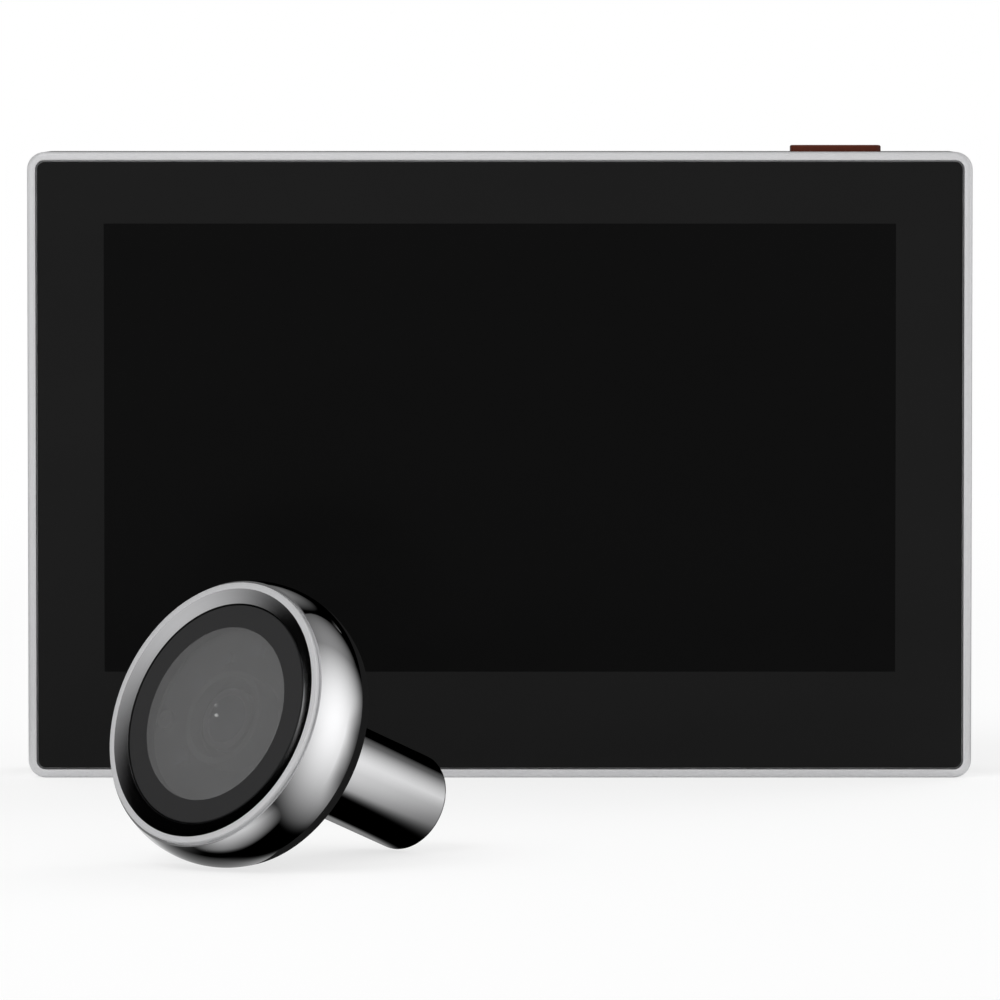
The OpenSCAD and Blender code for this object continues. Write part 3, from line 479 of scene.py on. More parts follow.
def rounded_section(corners, steps=5, closed=False):
    """A section's points from corners (a, b, radius), each rounded by an arc in a few steps."""
    section = []
    for i, (a, b, radius) in enumerate(corners):
        is_end = not closed and i in (0, len(corners) - 1)
        if is_end or radius <= 0:
            section.append((a, b))
            continue
        here = Vector((a, b))
        to_last = (Vector(corners[i - 1][:2]) - here).normalized()
        to_next = (Vector(corners[(i + 1) % len(corners)][:2]) - here).normalized()
        half = acos(max(-1, min(1, to_last.dot(to_next)))) / 2
        middle = here + (to_last + to_next).normalized() * radius / sin(half)
        start = here + to_last * radius / tan(half) - middle
        end = here + to_next * radius / tan(half) - middle
        turn = atan2(start.x * end.y - start.y * end.x, start.dot(end))
        for step in range(steps + 1):
            angle = turn * step / steps
            section.append((middle.x + start.x * cos(angle) - start.y * sin(angle),
                            middle.y + start.x * sin(angle) + start.y * cos(angle)))
    return section


def round_rect(w, h, r, steps=8):
    """A rounded rectangle about the origin, as flat points that run round once."""
    r = max(min(r, w / 2 - LEAST_SIDE, h / 2 - LEAST_SIDE), LEAST_R)
    outline = []
    for quarter, (sx, sz) in enumerate(((1, 1), (-1, 1), (-1, -1), (1, -1))):
        for step in range(steps + 1):
            angle = (quarter + step / steps) * pi / 2
            outline.append((sx * (w / 2 - r) + r * cos(angle), sz * (h / 2 - r) + r * sin(angle)))
    return outline


def upright_loop(w, h, r, y, z=middle_z):
    return [(a, y, z + b) for a, b in round_rect(w, h, r)]


print("points round a corner:", len(round_rect(1, 1, LEAST_R)) // 4)

# %% [markdown]
# The silver rim is one frame: a thin flat face, a rounded outer edge and a wall behind. It is a section
# swept round the monitor's outline, which is the same as a stack of rounded rectangles that shrink by the
# section's inset. The outer edge gets the larger radius, since that is where the picture shows a shaded line.

# %% Front frame
CORNER_R = 2.1 * MM
RIM_EDGE_R = 0.42 * MM
RIM_INNER_R = 0.12 * MM
SEAM_EDGE_R = 0.12 * MM
SKIRT_WALL = 1.2 * MM
LEDGE_W = 3.0 * MM
GLASS_GAP = 0.2 * MM
rim_w = glass_low.x - frame_low.x - GLASS_GAP
ledge_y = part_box("lcd_panel")[0].y
chassis_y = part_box("chassis_plate")[0].y

frame_section = rounded_section([
    (0, seam_y, SEAM_EDGE_R), (0, front_y, RIM_EDGE_R), (rim_w, front_y, RIM_INNER_R), (rim_w, ledge_y, 0),
    (LEDGE_W, ledge_y, 0), (LEDGE_W, chassis_y, 0), (SKIRT_WALL, chassis_y, 0), (SKIRT_WALL, seam_y, 0),
], closed=True)
frame_loops = [upright_loop(monitor_w - 2 * inset, monitor_h - 2 * inset, CORNER_R - inset, y)
               for inset, y in frame_section]
front_frame = mesh_piece("front_frame_rim", "monitor", [satin_silver], *skin(frame_loops, closed=True))
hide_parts("front_frame")
print("front frame faces:", len(front_frame.data.polygons))

# %% [markdown]
# The cover glass is one plate with a ground edge. Seen from the front it has two tones: the printed border,
# and the window through which the unlit display shows darker. Splitting the front face along that window
# lets each tone be a material of its own, with a crisp line between them.

# %% Cover glass
GLASS_CORNER_R = 0.9 * MM
GLASS_EDGE_R = 0.15 * MM
SCREEN_W, SCREEN_H = 95.04 * MM, 53.86 * MM
SCREEN_Z = 39.7 * MM
SCREEN_CORNER_R = 0.1 * MM
glass_w = glass_high.x - glass_low.x
glass_h = glass_high.z - glass_low.z
glass_section = rounded_section([
    (0, glass_high.y, 0), (0, glass_low.y, GLASS_EDGE_R), (GLASS_EDGE_R * 3, glass_low.y, 0),
])
glass_loops = [upright_loop(glass_w - 2 * inset, glass_h - 2 * inset, GLASS_CORNER_R - inset, y)
               for inset, y in glass_section]
glass_loops.append(upright_loop(SCREEN_W, SCREEN_H, SCREEN_CORNER_R, glass_low.y, SCREEN_Z))
glass_points, glass_faces = skin(glass_loops, cap_first=True, cap_last=True)
cover_glass = mesh_piece("cover_glass_plate", "monitor", [glass_border, screen_off], glass_points,
                         glass_faces, face_finish=[0] * (len(glass_faces) - 1) + [1])
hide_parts("cover_glass")
print("glass mm:", in_mm(glass_w, glass_h))

# %% [markdown]
# The button stands a little out of the top edge. It is a small moulding: a stem that presses the switch, a
# flange that keeps it in, and a cap with rounded edges. All three are rounded rectangles, so the button is
# one stack of outlines from the stem's foot to the crown.

# %% Button
BUTTON_W, BUTTON_D, BUTTON_CORNER = 10.9 * MM, 4.2 * MM, 0.8 * MM
FLANGE_OUT, FLANGE_T, STEM_L = 0.8 * MM, 0.9 * MM, 1.6 * MM
STEM_W, STEM_D, STEM_CORNER_R = 3.0 * MM, 2.0 * MM, 0.2 * MM
CAP_EDGE_R, CAP_FACE_IN = 0.22 * MM, 1.2 * MM
button_low, button_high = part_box("button_cap")
button_x = (button_low.x + button_high.x) / 2
button_y = (button_low.y + button_high.y) / 2
flange_low = button_low.z + STEM_L
flange_top = flange_low + FLANGE_T


def level_loop(w, d, r, z):
    return [(button_x + a, button_y + b, z) for a, b in round_rect(w, d, r, steps=6)]


flange_size = (BUTTON_W + 2 * FLANGE_OUT, BUTTON_D + 2 * FLANGE_OUT, BUTTON_CORNER)
button_loops = [level_loop(STEM_W, STEM_D, STEM_CORNER_R, z) for z in (button_low.z, flange_low)]
button_loops += [level_loop(*flange_size, z) for z in (flange_low, flange_top)]
cap_section = rounded_section([
    (0, flange_top, 0), (0, button_high.z, CAP_EDGE_R), (CAP_FACE_IN, button_high.z, 0),
])
button_loops += [level_loop(BUTTON_W - 2 * inset, BUTTON_D - 2 * inset, BUTTON_CORNER - inset, z)
                 for inset, z in cap_section]
button = mesh_piece("button_moulding", "button", [button_brown], *skin(button_loops, True, True))
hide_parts("button_cap")
print("button proud mm:", in_mm(button_high.z - monitor_h))

# %% [markdown]
# The rear cover has pockets, screw seats, a socket opening and a sound grille, so its solid is the best
# source for its shape. A bevel rounds its edges: the flat triangles are first dissolved into whole faces,
# because a bevel follows every edge that it finds.

# %% Rear cover
COVER_EDGE_R = 0.18 * MM
WELD_REACH = 1e-6
FLAT_ANGLE, SHARP_ANGLE = radians(1), radians(32)
EDGE_SEGMENTS = 2


def soften(node, width):
    """Rounds the sharp edges of a solid that stays in view."""
    solid = frame["nodes"][node]
    weld = solid.modifiers.new("weld", "WELD")
    weld.merge_threshold = WELD_REACH
    dissolve = solid.modifiers.new("whole_faces", "DECIMATE")
    dissolve.decimate_type = "DISSOLVE"
    dissolve.angle_limit = FLAT_ANGLE
    bevel = solid.modifiers.new("edge", "BEVEL")
    bevel.width = width
    bevel.segments = EDGE_SEGMENTS
    bevel.limit_method = "ANGLE"
    bevel.angle_limit = SHARP_ANGLE
    bevel.harden_normals = True


soften("rear_cover", COVER_EDGE_R)
print("rear cover softened")

# %% [markdown]
# The bracket that stays on the door is a plate of bent sheet with a foam pad behind it. The plate keeps its
# solid with eased edges. The foam is die-cut: its faces are flat, its cut edge is slightly drawn in, and the
# hole for the bolt goes right through. Hole and outline are skinned point to point, so the outline gets
# points along its straight edges too: with points at its corners alone the hole would come out square.

# %% Door bracket
PLATE_EDGE_R = 0.2 * MM
PAD_CORNER_R = 2.1 * MM
PAD_HOLE_R = 7.0 * MM
PAD_DRAW_IN, PAD_STEPS = 0.12 * MM, 6
PAD_EDGE_PARTS = 20
soften("bracket_plate", PLATE_EDGE_R)
pad_low, pad_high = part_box("bracket_pad")
pad_w, pad_h = pad_high.x - pad_low.x, pad_high.z - pad_low.z
pad_z = (pad_high.z + pad_low.z) / 2
pad_t = pad_high.y - pad_low.y
pad_levels = [(pad_low.y + pad_t * step / PAD_STEPS, PAD_DRAW_IN * sin(pi * step / PAD_STEPS))
              for step in range(PAD_STEPS + 1)]


def fill_edges(outline):
    """The same outline with more points on its straight edges."""
    filled = []
    for start, end in zip(outline, outline[1:] + outline[:1]):
        start, end = Vector(start), Vector(end)
        steps = PAD_EDGE_PARTS if (end - start).length > PAD_CORNER_R else 1
        filled += [tuple(start.lerp(end, step / steps)) for step in range(steps)]
    return filled


pad_outline = [fill_edges(upright_loop(pad_w - 2 * inset, pad_h - 2 * inset, PAD_CORNER_R, y, pad_z))
               for y, inset in pad_levels]


def hole_loop(outline, radius):
    """A round hole with a point in the direction of each point of the outline round it."""
    loop = []
    for x, y, z in outline:
        angle = atan2(z - pad_z, x)
        loop.append((radius * cos(angle), y, pad_z + radius * sin(angle)))
    return loop


pad_hole = [hole_loop(outline, PAD_HOLE_R) for outline in reversed(pad_outline)]
foam_pad = mesh_piece("bracket_foam", "bracket", [pad_foam], *skin(pad_outline + pad_hole, closed=True))
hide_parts("bracket_pad")
print("foam mm:", in_mm(pad_w, pad_h, pad_t))

# %% [markdown]
# A turned piece is a section swept round an axis, so its outlines are circles. A thread adds a helix: the
# radius of the skin then depends on how far round and how far along a point lies.

# %% Turned outlines and threads
THREAD_PITCH = 1.0 * MM
THREAD_ROWS = 8


def turned(section, sides=128):
    """Outlines of a section of (radius, place along the axis) turned about the Z axis."""
    circle = [(cos(2 * pi * i / sides), sin(2 * pi * i / sides)) for i in range(sides)]
    return [[(r * c, r * s, z) for c, s in circle] for r, z in section]


def thread_loops(radius, depth, low, high, sides):
    """Outlines of a helical thread between two places along the axis, run out at both ends."""
    rows = ceil((high - low) / THREAD_PITCH * THREAD_ROWS)
    loops = []
    for row in range(rows + 1):
        z = low + (high - low) * row / rows
        fade = min(1, (z - low) / THREAD_PITCH, (high - z) / THREAD_PITCH)
        loop = []
        for side in range(sides):
            turn = side / sides
            phase = (z / THREAD_PITCH - turn) % 1
            r = radius - depth * fade * abs(2 * phase - 1)
            loop.append((r * cos(2 * pi * turn), r * sin(2 * pi * turn), z))
        loops.append(loop)
    return loops


print("thread pitch mm:", in_mm(THREAD_PITCH))

# %% [markdown]
# The hollow clamp bolt screws into the barrel through the door. It is turned from one section, with a thread
# from its neck to its end, and a boolean cuts the coin slot in its head.

# %% Clamp bolt
BOLT_R = mounts["clamp_thread"]["dims"]["r_mm"] * MM
BOLT_BORE_R = mounts["cable_passage"]["dims"]["r_mm"] * MM
BOLT_FLANGE_R, BOLT_FLANGE_T = 6.5 * MM, 1.2 * MM
BOLT_NECK_R = 4.4 * MM
BOLT_EDGE_R, NECK_EDGE_R = 0.2 * MM, 0.25 * MM
BOLT_SLOT_W, BOLT_SLOT_D, SLOT_CORNER_R = 2.0 * MM, 0.7 * MM, 0.1 * MM
BOLT_SIDES = 64
THREAD_DEPTH = 0.5 * MM
bolt_low, bolt_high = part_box("clamp_bolt")
bolt_z = (bolt_low.z + bolt_high.z) / 2
bolt_l = bolt_high.y - bolt_low.y
thread_l = mounts["clamp_thread"]["dims"]["length_mm"] * MM
thread_start = bolt_l - thread_l
bolt_place = Matrix.Translation((0, bolt_low.y, bolt_z)) @ Matrix.Rotation(-pi / 2, 4, "X")

flange_section = rounded_section([
    (BOLT_BORE_R, 0, 0), (BOLT_FLANGE_R, 0, BOLT_EDGE_R), (BOLT_FLANGE_R, BOLT_FLANGE_T, BOLT_EDGE_R),
    (BOLT_NECK_R, BOLT_FLANGE_T, 0), (BOLT_NECK_R, thread_start, NECK_EDGE_R), (BOLT_R, thread_start, 0),
])
bore_section = [(BOLT_BORE_R + BOLT_EDGE_R, bolt_l), (BOLT_BORE_R, bolt_l - BOLT_EDGE_R)]
bolt_loops = turned(flange_section, BOLT_SIDES)
bolt_loops += thread_loops(BOLT_R, THREAD_DEPTH, thread_start, bolt_l, BOLT_SIDES)
bolt_loops += turned(bore_section, BOLT_SIDES)
clamp_bolt = mesh_piece("clamp_bolt_turned", "clamp_bolt", [bolt_steel], *skin(bolt_loops, closed=True),
                        place=bolt_place, smooth_angle=50)
slot_outline = round_rect(3 * BOLT_FLANGE_R, BOLT_SLOT_W, SLOT_CORNER_R)
slot_loops = [[(a, b, z) for a, b in slot_outline] for z in (-BOLT_SLOT_D, BOLT_SLOT_D)]
slot_cutter = mesh_piece("slot_cutter", "clamp_bolt", [bolt_steel], *skin(slot_loops, True, True),
                         place=bolt_place)
cut = clamp_bolt.modifiers.new("coin_slot", "BOOLEAN")
cut.object = slot_cutter
cut.solver = "EXACT"
bpy.context.view_layer.objects.active = clamp_bolt
with bpy.context.temp_override(object=clamp_bolt, active_object=clamp_bolt):
    bpy.ops.object.modifier_apply(modifier=cut.name)
bpy.data.objects.remove(slot_cutter)
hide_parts("clamp_bolt")
print("bolt faces:", len(clamp_bolt.data.polygons))

# %% [markdown]
# The outdoor head is a turned shell: a dome with one generous arc for its side, open at the front for the
# ring and recessed at the back for the pad. The arc is drawn from the same radius as the solid's, in many
# steps, because chrome shows every facet.

# %% Head shell
DOME_R = 9.5 * MM
DOME_STEPS = 36
FINE_SIDES = 192
HEAD_FLOOR = 1.6 * MM
CAVITY_R = 13.25 * MM
PAD_SEAT_D = 0.6 * MM
PAD_OUT_R, PAD_IN_R = 13.35 * MM, 8.4 * MM
NECK_HOLE_R = 5.65 * MM
arc_r, arc_z = head_r - DOME_R, head_d / 2
rim_angle = asin((ring_seat - arc_z) / DOME_R)
door_angle = asin(-arc_z / DOME_R)
head_section = [(NECK_HOLE_R, HEAD_FLOOR), (NECK_HOLE_R, 0), (PAD_IN_R, 0), (PAD_IN_R, PAD_SEAT_D),
                (PAD_OUT_R, PAD_SEAT_D), (PAD_OUT_R, 0)]
for step in range(DOME_STEPS + 1):
    angle = door_angle + (rim_angle - door_angle) * step / DOME_STEPS
    head_section.append((arc_r + DOME_R * cos(angle), arc_z + DOME_R * sin(angle)))
head_section += [(CAVITY_R, ring_seat), (CAVITY_R, HEAD_FLOOR)]
head_shell = mesh_piece("head_shell_dome", "camera_unit", [polished_chrome],
                        *skin(turned(head_section, FINE_SIDES), closed=True), place=lying)
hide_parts("head_shell")
print("dome faces:", len(head_shell.data.polygons))

# %% [markdown]
# The ring that holds the window is turned as well: a narrow flat face, then a bevel that leads in to the
# glass. In the picture the flat catches the light all round while the bevel runs from light to black,
# so the edge between them has to be crisp, with only a trace of a radius. The bore round the glass is black.

# %% Bezel ring
RING_FLAT = 0.7 * MM
SEAT_EDGE_R, OUTER_EDGE_R, FLAT_EDGE_R = 0.05 * MM, 0.16 * MM, 0.06 * MM
FOOT_EDGE_R, SPIGOT_EDGE_R = 0.04 * MM, 0.1 * MM
BEVEL_BELOW, BEVEL_ABOVE, BORE_PAST = 0.03 * MM, 0.01 * MM, 0.02 * MM
SATIN, BEVEL, DARK = range(3)
WINDOW_GAP = 0.15 * MM
SPIGOT_R = 13.2 * MM
LEDGE_IN = 1.2 * MM
window_bore_r = window_r + WINDOW_GAP
ledge_z = turned_size("window_seal")[1]
ring_section = rounded_section([
    (ring_r, ring_seat, SEAT_EDGE_R), (ring_r, head_d, OUTER_EDGE_R),
    (ring_r - RING_FLAT, head_d, FLAT_EDGE_R), (window_bore_r, ring_seat, FOOT_EDGE_R),
    (window_bore_r, ledge_z, 0), (window_bore_r - LEDGE_IN, ledge_z, 0),
    (window_bore_r - LEDGE_IN, spigot_low, 0), (SPIGOT_R, spigot_low, SPIGOT_EDGE_R),
    (SPIGOT_R, ring_seat, 0),
], steps=4, closed=True)
ring_finish = []
for (r_from, z_from), (r_to, z_to) in zip(ring_section, ring_section[1:] + ring_section[:1]):
    face_r, face_z = (r_from + r_to) / 2, (z_from + z_to) / 2
    in_bore = face_r < window_bore_r + BORE_PAST
    on_bevel = face_r < ring_r - RING_FLAT and ring_seat - BEVEL_BELOW < face_z < head_d - BEVEL_ABOVE
    ring_finish += [DARK if in_bore else BEVEL if on_bevel else SATIN] * FINE_SIDES
bezel_ring = mesh_piece("bezel_ring_turned", "camera_unit", [satin_ring, ring_bevel, rubber_black],
                        *skin(turned(ring_section, FINE_SIDES), closed=True), face_finish=ring_finish,
                        place=lying)
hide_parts("bezel_ring")
print("ring faces:", len(bezel_ring.data.polygons))

# %% [markdown]
# The window is a disc with a ground edge. Its outer part carries a dark printed border, and the middle is
# smoked glass. As on the monitor's glass, the face is split where the print ends.

# %% Camera window
PRINT_R = 9.6 * MM
WINDOW_EDGE_R = 0.15 * MM
window_section = rounded_section([
    (PRINT_R, window_back, 0), (window_r, window_back, WINDOW_EDGE_R),
    (window_r, window_front, WINDOW_EDGE_R), (PRINT_R, window_front, 0),
])
window_points, window_faces = skin(turned(window_section, FINE_SIDES), cap_first=True, cap_last=True)
camera_window = mesh_piece("camera_window_disc", "camera_unit", [window_border, window_smoke], window_points,
                           window_faces, face_finish=[0] * (len(window_faces) - 2) + [1, 1], place=lying)
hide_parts("camera_window")
print("window radius mm:", in_mm(window_r))

# %% [markdown]
# Behind the window sits the front lens. Its solid is cut into small flats, which would break up a glint, so
# it is turned again with a smooth crown. The crown's radius follows from the rim's radius and its rise.

# %% Front lens
LENS_RISE = 0.35 * MM
CROWN_STEPS = 14
lens_r, lens_back, lens_apex = turned_size("front_lens")
crown_r = (lens_r ** 2 + LENS_RISE ** 2) / (2 * LENS_RISE)
crown_angles = [asin(lens_r / crown_r) * step / CROWN_STEPS for step in range(CROWN_STEPS, 0, -1)]
lens_section = [(lens_r, lens_back)]
lens_section += [(crown_r * sin(angle), lens_apex - crown_r * (1 - cos(angle))) for angle in crown_angles]
front_lens = mesh_piece("front_lens_crown", "camera_unit", [lens_glass],
                        *skin(turned(lens_section), cap_first=True, cap_last=True), place=lying)
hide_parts("front_lens")
print("lens crown radius mm:", in_mm(crown_r))

# %% [markdown]
# Two rubber pieces show on the unit's back: the pad between the head and the door, and the grommet deep in
# the barrel that grips the cable. Both are moulded rings. The pad swells a little between its edges, because
# that is what seals it to the door, and the grommet has eased lips.

# %% Door pad and grommet
DOOR_PAD_IN_R = 8.5 * MM
DOOR_PAD_SWELL, SWELL_R, PAD_LIP_R = 0.16 * MM, 6 * MM, 0.1 * MM
GROMMET_HOLE_R, GROMMET_LIP_R, GROMMET_SIDES = 1.2 * MM, 0.4 * MM, 64
pad_out_r, pad_door_z, pad_seat_z = turned_size("door_pad")
pad_ring = rounded_section([
    (DOOR_PAD_IN_R, pad_seat_z, 0), (DOOR_PAD_IN_R, pad_door_z + DOOR_PAD_SWELL, PAD_LIP_R),
    ((DOOR_PAD_IN_R + pad_out_r) / 2, pad_door_z, SWELL_R),
    (pad_out_r, pad_door_z + DOOR_PAD_SWELL, PAD_LIP_R), (pad_out_r, pad_seat_z, 0),
], closed=True)
door_pad = mesh_piece("door_pad_ring", "camera_unit", [rubber_black],
                      *skin(turned(pad_ring), closed=True), place=lying)
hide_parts("door_pad")
grommet_r, grommet_low, grommet_high = turned_size("cable_grommet")
grommet_ring = rounded_section([
    (grommet_r, grommet_low, 0), (grommet_r, grommet_high, 0), (GROMMET_HOLE_R, grommet_high, GROMMET_LIP_R),
    (GROMMET_HOLE_R, grommet_low, GROMMET_LIP_R),
], closed=True)
grommet = mesh_piece("cable_grommet_ring", "camera_unit", [rubber_black],
                     *skin(turned(grommet_ring, GROMMET_SIDES), closed=True), place=lying)
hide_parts("cable_grommet")
print("pad and grommet radius mm:", in_mm(pad_out_r, grommet_r))

# %% [markdown]
# The barrel goes through the door. Outside it is polished like the head, and its end is cut square with a
# slightly eased edge. Inside the end it has the thread that takes the clamp bolt, and further in a step that
# holds the cable's rubber grommet.

# %% Barrel
BARREL_BORE_R = 3.2 * MM
BARREL_NECK_R = 5.6 * MM
BARREL_FLANGE_R, BARREL_FLANGE_T = 8.5 * MM, 1.2 * MM
BARREL_EDGE_R = 0.5 * MM
BARREL_SIDES = 96
THREAD_MOUTH, HOLE_THREAD_DEPTH = 0.3 * MM, 0.4 * MM
THREAD_HOLE_R = mounts["barrel_thread"]["dims"]["r_mm"] * MM
hole_l = mounts["barrel_thread"]["dims"]["length_mm"] * MM
flange_top_z = HEAD_FLOOR + BARREL_FLANGE_T
outer_section = rounded_section([
    (BARREL_BORE_R, flange_top_z, 0), (BARREL_FLANGE_R, flange_top_z, 0), (BARREL_FLANGE_R, HEAD_FLOOR, 0),
    (BARREL_NECK_R, HEAD_FLOOR, 0), (BARREL_NECK_R, 0, 0), (barrel_r, 0, 0),
    (barrel_r, -barrel_l, BARREL_EDGE_R), (THREAD_HOLE_R + THREAD_MOUTH, -barrel_l, 0),
], steps=6)
mouth_z, thread_end = -barrel_l + THREAD_MOUTH, hole_l - barrel_l
barrel_loops = turned(outer_section, BARREL_SIDES)
barrel_loops += thread_loops(THREAD_HOLE_R, HOLE_THREAD_DEPTH, mouth_z, thread_end, BARREL_SIDES)
barrel_loops += turned([(BARREL_BORE_R, thread_end)], BARREL_SIDES)
barrel = mesh_piece("barrel_tube", "camera_unit", [polished_chrome], *skin(barrel_loops, closed=True),
                    place=lying, smooth_angle=45)
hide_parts("barrel")
print("barrel faces:", len(barrel.data.polygons))

# %% [markdown]
# The room round the object is plain white. Light Path tells the world which rays come from the camera, a
# gloss or a pane: they see plain white, while the light that falls on the object is weaker.

# %% White room
WHITE = (1, 1, 1, 1)
AMBIENT = 0.62


def sees_background(owner):
    """One for camera, glossy and transmitted rays, and nought for the rest."""
    rays = add_node(owner, "ShaderNodeLightPath").outputs
    direct = calculate(owner, "MAXIMUM", rays["Is Camera Ray"], rays["Is Glossy Ray"])
    return calculate(owner, "MAXIMUM", direct, rays["Is Transmission Ray"])


def end_graph(owner, output, share, first, second):
    """Ends a graph with two shaders, mixed by the share of the second."""
    mixed = add_node(owner, "ShaderNodeMixShader", {"Fac": share, 1: first, 2: second}).outputs[0]
    add_node(owner, output, {"Surface": mixed})


world = bpy.data.worlds.new("white_room")
scene.world = world
world.use_nodes = True
world.node_tree.nodes.clear()
fill = add_node(world, "ShaderNodeBackground", {"Color": WHITE, "Strength": AMBIENT}).outputs[0]
backdrop = add_node(world, "ShaderNodeBackground", {"Color": WHITE, "Strength": 1.0}).outputs[0]
end_graph(world, "ShaderNodeOutputWorld", sees_background(world), fill, backdrop)
print("room light:", AMBIENT)

# %% [markdown]
# The table is a plain white plane that keeps the shadow of the object. Away from the object it glows until it
# is as white as the room, so that no horizon shows.

# %% Table
TABLE_TONE = (0.94, 0.94, 0.94, 1)
FLOOR_HALF = 30.0
FLOOR_GLOW = 0.72
FLOOR_SHADED_R, FLOOR_WHITE_R = 0.22, 0.7


def bare_material(name):
    """A new material whose graph is still empty."""
    material = bpy.data.materials.new(name)
    material.use_nodes = True
    material.node_tree.nodes.clear()
    return material


table_white = bare_material("table_white")
matt = add_node(table_white, "ShaderNodeBsdfDiffuse", {"Color": TABLE_TONE}).outputs[0]
glow = add_node(table_white, "ShaderNodeEmission", {"Strength": 1.0}).outputs[0]
camera_rays = add_node(table_white, "ShaderNodeLightPath").outputs["Is Camera Ray"]
near_share = calculate(table_white, "MULTIPLY", camera_rays, FLOOR_GLOW)
distance = vector_math(table_white, "LENGTH", own_places(table_white))["Value"]
far = rescale(table_white, distance, FLOOR_SHADED_R, FLOOR_WHITE_R)
shares = {"Factor": far, "A": near_share, "B": sees_background(table_white)}
glow_share = add_node(table_white, "ShaderNodeMix", shares).outputs["Result"]
end_graph(table_white, "ShaderNodeOutputMaterial", glow_share, matt, glow)
floor_corners = [(x * FLOOR_HALF, y * FLOOR_HALF, 0) for x, y in ((-1, -1), (1, -1), (1, 1), (-1, 1))]
table = new_object("table", floor_corners, [(0, 1, 2, 3)], [table_white])
print("table half width m:", FLOOR_HALF)

# %% [markdown]
# Chrome is lit by what it mirrors, so photographers hang cards just outside the view. Here only mirrors see
# the cards. A card is flat or curved round the unit, its light can depend on the direction from the unit, and
# it can fade out to nothing.

# %% Card helpers
CAP_RINGS, CAP_SIDES = 14, 64


def direction(azimuth, elevation):
    """A unit vector from degrees: azimuth 0 is towards the viewer and grows to the right."""
    a, e = radians(azimuth), radians(elevation)
    return Vector((sin(a) * cos(e), -cos(a) * cos(e), sin(e)))


def aimed(place, axis):
    """A matrix that takes the origin to a place and +Z to the direction of an axis."""
    return Matrix.Translation(place) @ axis.to_track_quat("Z", "Y").to_matrix().to_4x4()


def add_card(name, points, faces, place=Matrix.Identity(4)):
    """A card that only mirrors see. Its material is returned, still empty."""
    material = bare_material(name)
    card = new_object(name, [place @ Vector(point) for point in points], faces, [material])
    for ray in ("camera", "diffuse", "transmission", "volume_scatter", "shadow"):
        setattr(card, "visible_" + ray, False)
    return material


def add_cap(name, axis, radius, half_angle):
    """A card that is a cap of a sphere round the camera unit."""
    angles = [half_angle * ring / CAP_RINGS for ring in range(CAP_RINGS, 0, -1)]
    section = [(radius * sin(angle), radius * cos(angle)) for angle in angles]
    return add_card(name, *skin(turned(section, CAP_SIDES), cap_last=True), aimed(card_middle, axis))


def towards(material, axis, middle=None):
    """How far a place lies in the direction of an axis, seen from the unit: one is straight ahead."""
    offset = vector_math(material, "SUBTRACT", own_places(material), middle or card_middle)[0]
    unit = vector_math(material, "NORMALIZE", offset)[0]
    return vector_math(material, "DOT_PRODUCT", unit, axis)["Value"]


def fading_light(material, axis, edge_cos, power, strength, middle=None):
    """Strength of a soft light in a direction, from its middle out to black."""
    ahead = rescale(material, towards(material, axis, middle), edge_cos, 1.0, soft=False)
    return calculate(material, "MULTIPLY", calculate(material, "POWER", ahead, power), strength)


def show(material, strength, transparency=0.0):
    """Ends a card's material: light of a strength, mixed with nothing by its transparency."""
    light = add_node(material, "ShaderNodeEmission", {"Strength": strength}).outputs[0]
    nothing = add_node(material, "ShaderNodeBsdfTransparent").outputs[0]
    end_graph(material, "ShaderNodeOutputMaterial", transparency, light, nothing)


print("card helpers ready")

# %% [markdown]
# In the picture the chrome mirrors one broad soft light on its right that fades to black all round, a weaker
# one on its left, and a table that darkens under the unit. The light depends on the direction from the unit,
# so that the curved cards in the room and the flat card on the table belong to one fading light.

# %% Cards for the chrome
# Each fade has the cosine at which the light ends, the power of its fall and its strength
RIGHT_FADE, HIGH_FADE, LEFT_FADE = (0.43, 1.5, 1.14), (0.83, 1.0, 0.27), (0.70, 2.0, 0.75)
RIGHT_AXIS, HIGH_AXIS, LEFT_AXIS = direction(75, 6), direction(112, 38), direction(-62, 7)
LIGHT_CAP_R = 2.0
RIGHT_CAP = (direction(80, 6), LIGHT_CAP_R, radians(70))
LEFT_CAP = (direction(-78, 20), LIGHT_CAP_R, radians(52))
CARD_SHIFT = Vector((5.2, 4.5, -1.7)) * MM
card_middle = door_face + CARD_SHIFT
right_card = add_cap("right_card", *RIGHT_CAP)
show(right_card, calculate(right_card, "MAXIMUM", fading_light(right_card, RIGHT_AXIS, *RIGHT_FADE),
                           fading_light(right_card, HIGH_AXIS, *HIGH_FADE)))
left_card = add_cap("left_card", *LEFT_CAP)
show(left_card, fading_light(left_card, LEFT_AXIS, *LEFT_FADE))
print("light cards ready")

# %% [markdown]
# The lower half of the same light lies on a card on the table, cut out round the monitor's foot. Its patches
# are measured from the place where the head touches the table, so the helpers here give distances from it.

# %% Card on the table
TOUCH = Vector((-29.3, -126.0, 0)) * MM
TABLE_CARD_HALF = 8.0
TABLE_CARD_GAP = 5 * MM
TABLE_CARD_LIFT = 0.03 * MM
card_back, card_side = front_y - TABLE_CARD_GAP, monitor_w / 2 + TABLE_CARD_GAP
right_outline = [(TABLE_CARD_HALF, -TABLE_CARD_HALF), (TABLE_CARD_HALF, TABLE_CARD_HALF),
                 (card_side, TABLE_CARD_HALF), (card_side, card_back)]
card_outline = right_outline + [(-x, y) for x, y in reversed(right_outline)]
table_card = add_card("table_card", [(x, y, TABLE_CARD_LIFT) for x, y in card_outline],
                      [tuple(range(len(card_outline)))])
from_touch = vector_math(table_card, "SUBTRACT", own_places(table_card), TOUCH)[0]
reach = vector_math(table_card, "LENGTH", from_touch)["Value"]


def along(azimuth):
    """Distance of a place from the touching point, measured in a level direction."""
    return vector_math(table_card, "DOT_PRODUCT", from_touch, direction(azimuth, 0))["Value"]


